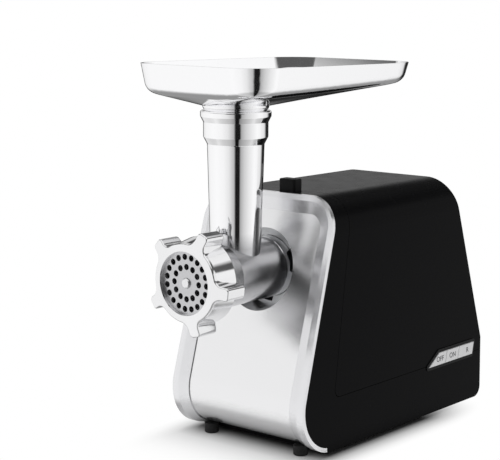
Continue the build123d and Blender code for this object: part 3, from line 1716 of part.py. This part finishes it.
bezel_seat = side_x(strip_low - bezel_margin)
with BuildPart() as switch_bezel:
    extrude(strip_outline(facing_side(bezel_seat), bezel_margin), amount=bezel_face - bezel_seat)
    extrude(strip_outline(facing_side(bezel_back), bezel_sleeve), amount=bezel_depth)
    extrude(strip_outline(facing_side(bezel_back), button_gap), amount=bezel_depth, mode=Mode.SUBTRACT)
finish(switch_bezel, "switch_bezel")

splits = [strip_tip + bezel_margin, first_split, second_split, strip_rear]
button_names = ("off_button", "on_button", "reverse_button")
button_middles = []
for name, start, end in zip(button_names, splits[:-1], splits[1:]):
    start_gap = 0.0 if name == button_names[0] else button_gap
    end_gap = 0.0 if name == button_names[-1] else button_gap
    middle = (rear_y - (min(start, strip_tip - plunger_inset) + end) / 2, bezel_height)
    button_middles.append(middle)
    with BuildPart() as button:
        extrude(
            button_outline(facing_side(button_face - button_depth), start - start_gap, end + end_gap),
            amount=button_depth,
        )
        fillet(button.faces().sort_by(Axis.X)[-1].edges(), button_edge_radius)
        with BuildSketch(facing_side(bezel_back - button_travel)):
            with Locations(middle):
                Circle(plunger_radius)
        extrude(amount=button_face - button_depth - bezel_back + button_travel)
    finish(button, name)

with BuildPart() as switch_block:
    extrude(strip_outline(facing_side(bezel_back), bezel_sleeve), amount=-switch_depth)
    with BuildSketch(facing_side(bezel_back)):
        with Locations(button_middles):
            Circle(plunger_radius + gap)
    extrude(amount=-2 * button_travel - gap, mode=Mode.SUBTRACT)
finish(switch_block, "switch_block")

with BuildPart() as cord_gland:
    rod(rear_y - 4 * wall, rear_y, gland_radius, gland_place)
    rod(rear_y, rear_y + gland_stand, gland_flange_radius, gland_place)
    chamfer(cord_gland.edges().group_by(Axis.Y)[-1], gland_chamfer)
    rod(rear_y - 4 * wall, rear_y + gland_stand, gland_bore, gland_place, Mode.SUBTRACT)
finish(cord_gland, "cord_gland")

# The terminal block and the capacitor stand midway between the motor and the gland's nut.
electrics_y = (mount_y + mount_along + rear_y - 4 * wall) / 2
with BuildPart() as terminal_block:
    block(
        (gland_place[0] - terminal_across / 2, gland_place[0] + terminal_across / 2),
        (electrics_y - terminal_along / 2, electrics_y + terminal_along / 2),
        (base_top, base_top + terminal_high),
    )
    with BuildSketch(Plane.XY.offset(base_top + terminal_high)):
        with Locations((gland_place[0], electrics_y)):
            with GridLocations(terminal_across / 3, terminal_along / 2, 3, 2):
                Circle(terminal_hole_radius)
    extrude(amount=-terminal_hole_depth, mode=Mode.SUBTRACT)
finish(terminal_block, "terminal_block")

with BuildPart() as capacitor:
    block(
        (-gland_place[0] - capacitor_across / 2, -gland_place[0] + capacitor_across / 2),
        (electrics_y - capacitor_along / 2, electrics_y + capacitor_along / 2),
        (base_top, base_top + capacitor_high),
    )
    fillet(capacitor.edges().filter_by(Axis.Z), capacitor_corner)
finish(capacitor, "capacitor")
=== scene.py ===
import json
import math

import bmesh
import bpy
from mathutils import Matrix, Vector


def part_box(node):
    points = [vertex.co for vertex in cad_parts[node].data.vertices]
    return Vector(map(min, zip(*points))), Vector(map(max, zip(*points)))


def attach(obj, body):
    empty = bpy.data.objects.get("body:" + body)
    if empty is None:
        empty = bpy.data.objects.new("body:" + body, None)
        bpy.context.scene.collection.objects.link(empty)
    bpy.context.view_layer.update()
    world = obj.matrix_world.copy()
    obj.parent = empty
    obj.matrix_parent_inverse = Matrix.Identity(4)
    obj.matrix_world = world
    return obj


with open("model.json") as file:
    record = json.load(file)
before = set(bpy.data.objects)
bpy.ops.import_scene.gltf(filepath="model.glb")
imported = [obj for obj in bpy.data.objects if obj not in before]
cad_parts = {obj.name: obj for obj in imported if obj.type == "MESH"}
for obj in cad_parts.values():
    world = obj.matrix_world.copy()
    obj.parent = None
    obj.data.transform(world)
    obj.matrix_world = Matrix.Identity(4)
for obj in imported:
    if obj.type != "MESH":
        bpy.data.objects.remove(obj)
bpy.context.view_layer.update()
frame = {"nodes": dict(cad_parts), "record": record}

# ---------------------------------------------------------------- materials


def linear(hex_colour):
    """An sRGB hex colour as the linear red, green, blue and alpha that shaders take."""
    channels = [int(hex_colour[i : i + 2], 16) / 255 for i in (1, 3, 5)]
    return [c / 12.92 if c <= 0.04045 else ((c + 0.055) / 1.055) ** 2.4 for c in channels] + [1.0]


def grey(level):
    """A linear grey."""
    return (level, level, level, 1)


def add_node(tree, kind, inputs=None, **settings):
    """Adds a node with its settings, and with each input set to a value or linked to a socket."""
    node = tree.nodes.new(kind)
    for name, value in settings.items():
        setattr(node, name, value)
    for name, value in (inputs or {}).items():
        socket = node.inputs[name]
        if isinstance(value, bpy.types.NodeSocket):
            tree.links.new(value, socket)
        else:
            socket.default_value = value
    return node


def new_material(name):
    """An empty node material and its tree."""
    material = bpy.data.materials.new(name)
    material.use_nodes = True
    material.node_tree.nodes.clear()
    return material, material.node_tree


def surface(tree, inputs):
    """Ends a material's tree in its shader and output."""
    shader = add_node(tree, "ShaderNodeBsdfPrincipled", inputs)
    add_node(tree, "ShaderNodeOutputMaterial", {"Surface": shader.outputs["BSDF"]})


def grain(tree, size_mm, smooth, rough, depth_mm=0.0, stretch=(1, 1, 1), detail=2.0):
    """Noise with a grain of that size: the roughness it spreads and, given a depth, its relief."""
    place = add_node(tree, "ShaderNodeTexCoord")
    scaled = add_node(tree, "ShaderNodeMapping", {"Vector": place.outputs["Object"], "Scale": stretch})
    noise = add_node(
        tree,
        "ShaderNodeTexNoise",
        {"Vector": scaled.outputs["Vector"], "Scale": 1000.0 / size_mm, "Detail": detail},
    )
    height = noise.outputs["Fac"]
    # The noise seldom leaves the range from 0.3 to 0.7.
    spread = add_node(
        tree,
        "ShaderNodeMapRange",
        {"Value": height, "From Min": 0.3, "From Max": 0.7, "To Min": smooth, "To Max": rough},
    )
    inputs = {"Roughness": spread.outputs["Result"]}
    if depth_mm:
        bump = add_node(
            tree, "ShaderNodeBump", {"Height": height, "Distance": depth_mm / 1000.0, "Strength": 1.0}
        )
        inputs["Normal"] = bump.outputs["Normal"]
    return inputs


def fill_ramp(ramp, levels):
    """Gives a colour ramp its grey levels, each with its place from 0 to 1."""
    stops = ramp.color_ramp.elements
    for index, (position, level) in enumerate(levels):
        stop = stops[index] if index < 2 else stops.new(position)
        stop.position = position
        stop.color = grey(level)


mirror_colour = linear("#FAFAFB")


def polished_aluminium():
    """Die-cast aluminium, buffed to a mirror: crisp reflections with a faint haze from the mop."""
    material, tree = new_material("polished_aluminium")
    haze = grain(tree, 14.0, 0.03, 0.08, depth_mm=0.004, detail=3.0)
    surface(tree, {"Base Color": mirror_colour, "Metallic": 1.0, **haze})
    return material


def nut_casting():
    """Cast aluminium nut, buffed a little less than the tube because of its many corners."""
    material, tree = new_material("buffed_nut_aluminium")
    haze = grain(tree, 9.0, 0.07, 0.12, depth_mm=0.004, detail=3.0)
    surface(tree, {"Base Color": linear("#EFEFF0"), "Metallic": 1.0, **haze})
    return material


def head_casting():
    """The head's aluminium: buffed to a mirror on the tube, and given a satin brushing round the barrel,
    where its colour is also darkened as painted shade.
    """
    material, tree = new_material("buffed_cast_aluminium")
    haze = grain(tree, 14.0, 0.03, 0.08, depth_mm=0.004, detail=3.0)
    place = add_node(tree, "ShaderNodeTexCoord")
    parts = add_node(tree, "ShaderNodeSeparateXYZ", {"Vector": place.outputs["Object"]})
    nut_low, nut_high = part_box("ring_nut")
    barrel_axis = (nut_low[2] + nut_high[2]) / 2
    # The brushing, and the painted shade in the colour, fade out from 22 to 34 mm above the barrel's
    # axis.
    brushed_and_painted_shade = add_node(
        tree,
        "ShaderNodeMapRange",
        {"Value": parts.outputs["Z"], "From Min": barrel_axis + 0.034, "From Max": barrel_axis + 0.022},
    )
    brushed_roughness = 0.17
    roughness = add_node(
        tree,
        "ShaderNodeMath",
        {0: brushed_and_painted_shade.outputs["Result"], 1: brushed_roughness, 2: haze["Roughness"]},
        operation="MULTIPLY_ADD",
    )
    # Round the barrel the colour is a darker grey: painted shade.
    colour = add_node(
        tree,
        "ShaderNodeMix",
        {0: brushed_and_painted_shade.outputs["Result"], 6: mirror_colour, 7: linear("#C6C6C8")},
        data_type="RGBA",
    )
    surface(
        tree,
        {
            "Base Color": colour.outputs[2],
            "Metallic": 1.0,
            "Roughness": roughness.outputs["Value"],
            "Normal": haze["Normal"],
        },
    )
    return material


def satin_steel():
    """Stainless sheet with a fine satin brushing across it: soft, wide reflections."""
    material, tree = new_material("satin_stainless_steel")
    # Real brushing is finer than 0.1 mm. It is drawn at 0.5 mm across and 15 mm along.
    lines = grain(tree, 0.5, 0.22, 0.25, depth_mm=0.0002, stretch=(0.033, 1, 1))
    surface(tree, {"Base Color": linear("#EDEDEE"), "Metallic": 1.0, **lines})
    return material


def silver_paint():
    """Metallic silver lacquer on moulded ABS: bright, with softer reflections than bare metal."""
    material, tree = new_material("silver_lacquer")
    # Real flake is about 0.03 mm. It is drawn at 0.8 mm, as a faint cloudiness.
    flake = grain(tree, 0.8, 0.2, 0.24)
    surface(
        tree,
        {
            "Base Color": linear("#E6E6E8"),
            "Metallic": 0.85,
            "Coat Weight": 0.3,
            "Coat Roughness": 0.08,
            **flake,
        },
    )
    return material


def gloss_black_abs():
    """Black ABS from a polished mould: nearly black, and bright only at a glancing angle."""
    material, tree = new_material("black_abs")
    ripple = grain(tree, 12.0, 0.24, 0.28)
    surface(tree, {"Base Color": linear("#0D0D0E"), "Specular IOR Level": 0.02, **ripple})
    return material


def matt_black_abs():
    """Black ABS from a spark-eroded mould: a fine even grain that keeps reflections dull."""
    material, tree = new_material("textured_black_abs")
    texture = grain(tree, 0.6, 0.4, 0.5, depth_mm=0.01)
    surface(tree, {"Base Color": linear("#0B0B0C"), "Specular IOR Level": 0.12, **texture})
    return material


def auger_casting():
    """Cast aluminium screw: bright on the pin in the plate, and dark grey inside the barrel as painted
    shade.
    """
    material, tree = new_material("cast_aluminium_with_painted_shade")
    texture = grain(tree, 1.5, 0.26, 0.32, depth_mm=0.006)
    place = add_node(tree, "ShaderNodeTexCoord")
    parts = add_node(tree, "ShaderNodeSeparateXYZ", {"Vector": place.outputs["Object"]})
    plate_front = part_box("cutting_plate")[0][1]
    # The painted shade inside the barrel gives way to the pin's bright aluminium from 3 to 1 mm behind
    # the plate's front face.
    pin_clear_of_painted_shade = add_node(
        tree,
        "ShaderNodeMapRange",
        {"Value": parts.outputs["Y"], "From Min": plate_front + 0.003, "From Max": plate_front + 0.001},
    )
    # Dark grey is painted shade inside the barrel; light grey is the pin's own aluminium.
    colour = add_node(
        tree,
        "ShaderNodeMix",
        {0: pin_clear_of_painted_shade.outputs["Result"], 6: linear("#3C3C3E"), 7: linear("#E9E9EA")},
        data_type="RGBA",
    )
    surface(tree, {"Base Color": colour.outputs[2], "Metallic": 1.0, **texture})
    return material


def plain(name, colour, roughness, metallic=0.0):
    """A simple finish, named for its material, with a fine moulded or machined grain."""
    material, tree = new_material(name)
    texture = grain(tree, 1.5, roughness * 0.85, roughness * 1.15, depth_mm=0.01)
    surface(tree, {"Base Color": linear(colour), "Metallic": metallic, **texture})
    return material


finishes = {
    "gloss_black": gloss_black_abs(),
    "bright_frame": silver_paint(),
    "fascia_steel": satin_steel(),
    "polished_aluminium": polished_aluminium(),
    "cast_aluminium": plain("cast_aluminium", "#B4B5B7", 0.4, 1.0),
    "cutting_steel": plain("ground_steel", "#C9C9CB", 0.35, 1.0),
    "fastener_steel": plain("zinc_plated_steel", "#B9BABD", 0.3, 1.0),
    "gear_steel": plain("sintered_steel", "#8A8B8D", 0.45, 1.0),
    "gear_nylon": plain("natural_nylon", "#E5E1D3", 0.45),
    "bush_bronze": plain("sintered_bronze", "#A97D4B", 0.4, 1.0),
    "winding_copper": plain("varnished_copper", "#B5673C", 0.3, 1.0),
    "laminations": plain("stacked_steel_sheets", "#6F7174", 0.5, 0.8),
    "carbon": plain("carbon_graphite", "#2B2B2C", 0.6),
    "rubber_black": plain("black_rubber", "#0C0C0D", 0.7),
    "key_silver": plain("silver_painted_abs", "#CFCFD0", 0.4, 0.2),
    "black_plastic": matt_black_abs(),
    "terminal_white": plain("white_nylon", "#E8E6E0", 0.5),
}

# These pieces look different from the rest of their slot.
own_finishes = {
    "grinder_head": head_casting(),
    "ring_nut": nut_casting(),
    "auger": auger_casting(),
    # The blade's dark grey is painted shade behind the plate's holes.
    "cross_blade": plain("tool_steel_painted_shade", "#3A3A3C", 0.35, 1.0),
}

for entry in frame["record"]["subparts"]:
    mesh = frame["nodes"][entry["node"]].data
    mesh.materials.clear()
    mesh.materials.append(own_finishes.get(entry["node"], finishes[entry["material_slot"]]))

# ---------------------------------------------------------------- lettering on the keys

key_ink = plain("grey_pad_printing_ink", "#2A2A2C", 0.6)
ink_thickness = 0.00012
ink_proud = 0.00009  # the rest is sunk in the key
key_low, key_high = (Vector(corner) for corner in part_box("on_button"))
cap_height = 0.42 * (key_high.z - key_low.z)
key_middle_z = (key_low.z + key_high.z) / 2
half_key = (key_high.y - key_low.y) / 2


def key_word(word, node, body, middle_y):
    """A printed word on a key's flat face, centred at that Y."""
    text = bpy.data.curves.new(word, "FONT")
    text.body = word
    text.align_x = "CENTER"
    text.align_y = "CENTER"
    text.extrude = 0.5  # either side, so the word is 1 thick before it is scaled
    source = bpy.data.objects.new(word, text)
    bpy.context.scene.collection.objects.link(source)
    bpy.context.view_layer.update()
    mesh = bpy.data.meshes.new_from_object(source)
    bpy.data.objects.remove(source)
    heights = [vertex.co.y for vertex in mesh.vertices]
    size = cap_height / (max(heights) - min(heights))
    shift = -(max(heights) + min(heights)) / 2
    middle = Vector((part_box(node)[1][0] + ink_proud - ink_thickness / 2, middle_y, key_middle_z))
    # The word reads along Y and stands up along Z, and its ink stands out along X.
    upright = Matrix(((0, 0, 1, 0), (1, 0, 0, 0), (0, 1, 0, 0), (0, 0, 0, 1)))
    mesh.transform(
        Matrix.Translation(middle)
        @ upright
        @ Matrix.Diagonal((size, size, ink_thickness, 1))
        @ Matrix.Translation((0, shift, 0))
    )
    piece = bpy.data.objects.new(word.lower() + "_mark", mesh)
    bpy.context.scene.collection.objects.link(piece)
    mesh.materials.clear()
    mesh.materials.append(key_ink)
    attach(piece, body)


# The outer keys are longer than the middle one. Their words stand half its length from their rear
# ends.
key_word("OFF", "off_button", "off_key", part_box("off_button")[1][1] - half_key)
key_word("ON", "on_button", "on_key", (key_low.y + key_high.y) / 2)
key_word("R", "reverse_button", "reverse_key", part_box("reverse_button")[1][1] - half_key)

# ---------------------------------------------------------------- floor

floor_radius = 0.6
# How far the shade painted on the floor reaches from the base's edges, in metres.
shade_aside = 0.03
shade_ahead = 0.1
shade_short = 0.08  # the shade closes in that far before the rear
painted_shade_tones = [(0.0, 0.12), (0.12, 0.35), (0.35, 0.8), (0.7, 0.98)]
base_low, base_high = (Vector(corner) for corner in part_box("base_plate"))


def floor_material():
    """White paper whose colour is darkened round the base as painted shade, over the shadow the lamps
    cast, and pure white further off.
    """
    material, tree = new_material("white_paper_with_painted_shade")
    place = add_node(tree, "ShaderNodeTexCoord")
    parts = add_node(tree, "ShaderNodeSeparateXYZ", {"Vector": place.outputs["Object"]})
    # How far out of the shade a point lies, from 0 at the base's edge to 1 at the shade's end.
    past = {}
    for name, axis, edge, end in (
        ("left", "X", base_low.x, base_low.x - shade_aside),
        ("right", "X", base_high.x, base_high.x + shade_aside),
        ("front", "Y", base_low.y, base_low.y - shade_ahead),
        ("rear", "Y", base_high.y - shade_short, base_high.y),
    ):
        past[name] = add_node(
            tree,
            "ShaderNodeMapRange",
            {"Value": parts.outputs[axis], "From Min": edge, "From Max": end},
        ).outputs["Result"]
    across = add_node(tree, "ShaderNodeMath", {0: past["left"], 1: past["right"]})
    along = add_node(tree, "ShaderNodeMath", {0: past["front"], 1: past["rear"]})
    both = add_node(
        tree, "ShaderNodeCombineXYZ", {"X": across.outputs["Value"], "Y": along.outputs["Value"]}
    )
    distance = add_node(tree, "ShaderNodeVectorMath", {0: both.outputs["Vector"]}, operation="LENGTH")
    fade = add_node(
        tree, "ShaderNodeMapRange", {"Value": distance.outputs["Value"]}, interpolation_type="SMOOTHSTEP"
    )
    # The paper's colour darkens towards the base: painted shade.
    tone = add_node(tree, "ShaderNodeValToRGB", {"Fac": distance.outputs["Value"]})
    fill_ramp(tone, painted_shade_tones)
    paper = add_node(tree, "ShaderNodeBsdfDiffuse", {"Color": tone.outputs["Color"]})
    white = add_node(tree, "ShaderNodeEmission", {"Color": grey(1), "Strength": 1.0})
    clear = add_node(tree, "ShaderNodeBsdfTransparent")
    rays = add_node(tree, "ShaderNodeLightPath")
    # Reflections show the painted shade, and past it the tent that stands for the rest of the studio.
    far = add_node(
        tree,
        "ShaderNodeMixShader",
        {0: rays.outputs["Is Glossy Ray"], 1: white.outputs["Emission"], 2: clear.outputs["BSDF"]},
    )
    mixed = add_node(
        tree,
        "ShaderNodeMixShader",
        {0: fade.outputs["Result"], 1: paper.outputs["BSDF"], 2: far.outputs["Shader"]},
    )
    add_node(tree, "ShaderNodeOutputMaterial", {"Surface": mixed.outputs["Shader"]})
    return material


floor_mesh = bpy.data.meshes.new("floor")
bm = bmesh.new()
bmesh.ops.create_circle(bm, cap_ends=True, segments=96, radius=floor_radius)
bm.to_mesh(floor_mesh)
bm.free()
floor = bpy.data.objects.new("floor", floor_mesh)
bpy.context.scene.collection.objects.link(floor)
floor_mesh.materials.append(floor_material())

# ---------------------------------------------------------------- lamp and light tent


def softbox(name, place, target, size, power):
    """A square lamp that faces a point."""
    light = bpy.data.lights.new(name, "AREA")
    light.shape = "RECTANGLE"
    light.size = size
    light.size_y = size
    light.energy = power
    lamp = bpy.data.objects.new(name, light)
    bpy.context.scene.collection.objects.link(lamp)
    lamp.location = place
    lamp.rotation_euler = (Vector(target) - Vector(place)).to_track_quat("-Z", "Y").to_euler()
    return lamp


key = softbox("key", place=(-0.9, -1.1, 1.3), target=(0, 0, 0.15), size=0.9, power=9.0)
key.visible_glossy = False

camera_place = Vector((0.7140, -0.9299, 0.3492))

# The tent round the object, as polished metal shows it: degrees to the right of the camera, seen from
# the object, and the brightness there. A narrow black gap lies beside the camera, where the two
# panels meet, and a black screen stands low behind the object.
tent_panels = [
    (-160, 0.02),
    (-147, 0.84),
    (-124, 0.95),
    (-82, 1.0),
    (-47, 0.95),
    (-25, 0.82),
    (-4, 0.5),
    (2, 0.01),
    (18, 0.01),
    (23, 0.42),
    (38, 0.64),
    (60, 0.84),
    (85, 1.0),
    (104, 0.92),
    (124, 0.76),
    (136, 0.02),
]
panel_rise = 0.45  # how much higher the panels stand towards the camera
dark_room = 0.02
# The roof by its height above the object: a dark seam parts two widths of cloth.
roof_seam = [(0.0, 1.0), (0.355, 1.0), (0.4, 0.1), (0.56, 0.1), (0.66, 1.0)]
roof_overhead = 1.0
roof_behind = 0.65
floor_ahead = 0.62  # as a share of the panels over it
floor_behind = 0.3  # in the object's own shade
shade_reach = 0.4  # how much higher the floor's shade stands behind the object
even_light = 0.75  # what dull surfaces get from all round

# Where one part of the tent gives way to the next, as two ends of a soft step. They are parts of a
# direction's X, towards the camera's side, or of its Z.
room_start_x = (0.8, 0.9)
room_start_z = (-0.04, 0.06)
roof_start_z = (0.02, 0.12)
floor_start_z = (-0.62, -0.85)
floor_behind_x = (0.1, -0.1)


def tent_walls(tree, parts, panels):
    """The panels, with the dark room behind the camera above the gap between them."""
    ahead = add_node(
        tree,
        "ShaderNodeMapRange",
        {"Value": parts.outputs["X"], "From Min": room_start_x[0], "From Max": room_start_x[1]},
        interpolation_type="SMOOTHSTEP",
    )
    above = add_node(
        tree,
        "ShaderNodeMapRange",
        {"Value": parts.outputs["Z"], "From Min": room_start_z[0], "From Max": room_start_z[1]},
        interpolation_type="SMOOTHSTEP",
    )
    opening = add_node(
        tree,
        "ShaderNodeMath",
        {0: ahead.outputs["Result"], 1: above.outputs["Result"]},
        operation="MULTIPLY",
    )
    walls = add_node(
        tree,
        "ShaderNodeMix",
        {0: opening.outputs["Value"], 6: panels, 7: grey(dark_room)},
        data_type="RGBA",
    )
    return walls.outputs[2]


def add_roof(tree, parts, walls):
    """White cloth above the walls, a little dimmer far behind the object."""
    towards = add_node(tree, "ShaderNodeMath", {0: parts.outputs["X"], 1: 0.0}, operation="MAXIMUM")
    height = add_node(
        tree,
        "ShaderNodeMath",
        {0: towards.outputs["Value"], 1: -panel_rise, 2: parts.outputs["Z"]},
        operation="MULTIPLY_ADD",
    )
    upwards = add_node(
        tree,
        "ShaderNodeMapRange",
        {"Value": height.outputs["Value"], "From Min": roof_start_z[0], "From Max": roof_start_z[1]},
        interpolation_type="SMOOTHSTEP",
    )
    cloth = add_node(
        tree,
        "ShaderNodeMapRange",
        {
            "Value": parts.outputs["X"],
            "From Min": -1,
            "From Max": 0,
            "To Min": roof_behind,
            "To Max": roof_overhead,
        },
    )
    seam = add_node(tree, "ShaderNodeValToRGB", {"Fac": parts.outputs["Z"]})
    fill_ramp(seam, roof_seam)
    roof = add_node(
        tree,
        "ShaderNodeMix",
        {0: 1.0, 6: cloth.outputs["Result"], 7: seam.outputs["Color"]},
        data_type="RGBA",
        blend_type="MULTIPLY",
    )
    roofed = add_node(
        tree,
        "ShaderNodeMix",
        {0: upwards.outputs["Result"], 6: walls, 7: roof.outputs[2]},
        data_type="RGBA",
    )
    return roofed.outputs[2]


def add_floor(tree, parts, panels, roofed):
    """The floor under the walls. It is in the object's shade, which reaches further behind it."""
    away = add_node(tree, "ShaderNodeMath", {0: parts.outputs["X"], 1: 0.0}, operation="MINIMUM")
    depth = add_node(
        tree,
        "ShaderNodeMath",
        {0: away.outputs["Value"], 1: shade_reach, 2: parts.outputs["Z"]},
        operation="MULTIPLY_ADD",
    )
    downwards = add_node(
        tree,
        "ShaderNodeMapRange",
        {"Value": depth.outputs["Value"], "From Min": floor_start_z[0], "From Max": floor_start_z[1]},
        interpolation_type="SMOOTHSTEP",
    )
    rearward = add_node(
        tree,
        "ShaderNodeMapRange",
        {"Value": parts.outputs["X"], "From Min": floor_behind_x[0], "From Max": floor_behind_x[1]},
        interpolation_type="SMOOTHSTEP",
    )
    ahead = add_node(
        tree,
        "ShaderNodeMix",
        {0: 1.0, 6: panels, 7: grey(floor_ahead)},
        data_type="RGBA",
        blend_type="MULTIPLY",
    )
    floor_tone = add_node(
        tree,
        "ShaderNodeMix",
        {0: rearward.outputs["Result"], 6: ahead.outputs[2], 7: grey(floor_behind)},
        data_type="RGBA",
    )
    whole = add_node(
        tree,
        "ShaderNodeMix",
        {0: downwards.outputs["Result"], 6: roofed, 7: floor_tone.outputs[2]},
        data_type="RGBA",
    )
    return whole.outputs[2]


def light_tent(tree):
    """White to the eye, even light on dull surfaces, and the tent in reflections."""
    direction = add_node(tree, "ShaderNodeTexCoord")
    # Turned so that X points from the object to the camera's side.
    camera_side = math.atan2(camera_place.y, camera_place.x)
    facing = add_node(
        tree,
        "ShaderNodeVectorRotate",
        {"Vector": direction.outputs["Generated"], "Angle": -camera_side},
        rotation_type="Z_AXIS",
    )
    parts = add_node(tree, "ShaderNodeSeparateXYZ", {"Vector": facing.outputs["Vector"]})
    azimuth = add_node(
        tree, "ShaderNodeMath", {0: parts.outputs["Y"], 1: parts.outputs["X"]}, operation="ARCTAN2"
    )
    place_on_ramp = add_node(
        tree,
        "ShaderNodeMapRange",
        {"Value": azimuth.outputs["Value"], "From Min": -math.pi, "From Max": math.pi},
    )
    panels = add_node(tree, "ShaderNodeValToRGB", {"Fac": place_on_ramp.outputs["Result"]})
    fill_ramp(panels, [((degrees + 180) / 360, level) for degrees, level in tent_panels])
    walls = tent_walls(tree, parts, panels.outputs["Color"])
    roofed = add_roof(tree, parts, walls)
    whole = add_floor(tree, parts, panels.outputs["Color"], roofed)
    reflected = add_node(tree, "ShaderNodeBackground", {"Color": whole})
    even = add_node(tree, "ShaderNodeBackground", {"Color": grey(1), "Strength": even_light})
    white = add_node(tree, "ShaderNodeBackground", {"Color": grey(1), "Strength": 1.0})
    rays = add_node(tree, "ShaderNodeLightPath")
    lit = add_node(
        tree,
        "ShaderNodeMixShader",
        {
            0: rays.outputs["Is Glossy Ray"],
            1: even.outputs["Background"],
            2: reflected.outputs["Background"],
        },
    )
    seen = add_node(
        tree,
        "ShaderNodeMixShader",
        {0: rays.outputs["Is Camera Ray"], 1: lit.outputs["Shader"], 2: white.outputs["Background"]},
    )
    add_node(tree, "ShaderNodeOutputWorld", {"Surface": seen.outputs["Shader"]})


world = bpy.data.worlds.new("studio")
bpy.context.scene.world = world
world.use_nodes = True
world.node_tree.nodes.clear()
light_tent(world.node_tree)

# ---------------------------------------------------------------- camera

camera_turn = math.radians(40.25)  # left of +Y
camera_pitch = math.radians(9.08)  # down
camera_roll = math.radians(0.17)
camera_data = bpy.data.cameras.new("camera")
camera_data.sensor_width = 36.0
camera_data.lens = 105.29
camera = bpy.data.objects.new("camera", camera_data)
bpy.context.scene.collection.objects.link(camera)
camera.matrix_world = (
    Matrix.Translation(camera_place)
    @ Matrix.Rotation(camera_turn, 4, "Z")
    @ Matrix.Rotation(math.pi / 2 - camera_pitch, 4, "X")
    @ Matrix.Rotation(camera_roll, 4, "Z")
)
bpy.context.scene.camera = camera
bpy.context.scene.view_settings.view_transform = "Standard"
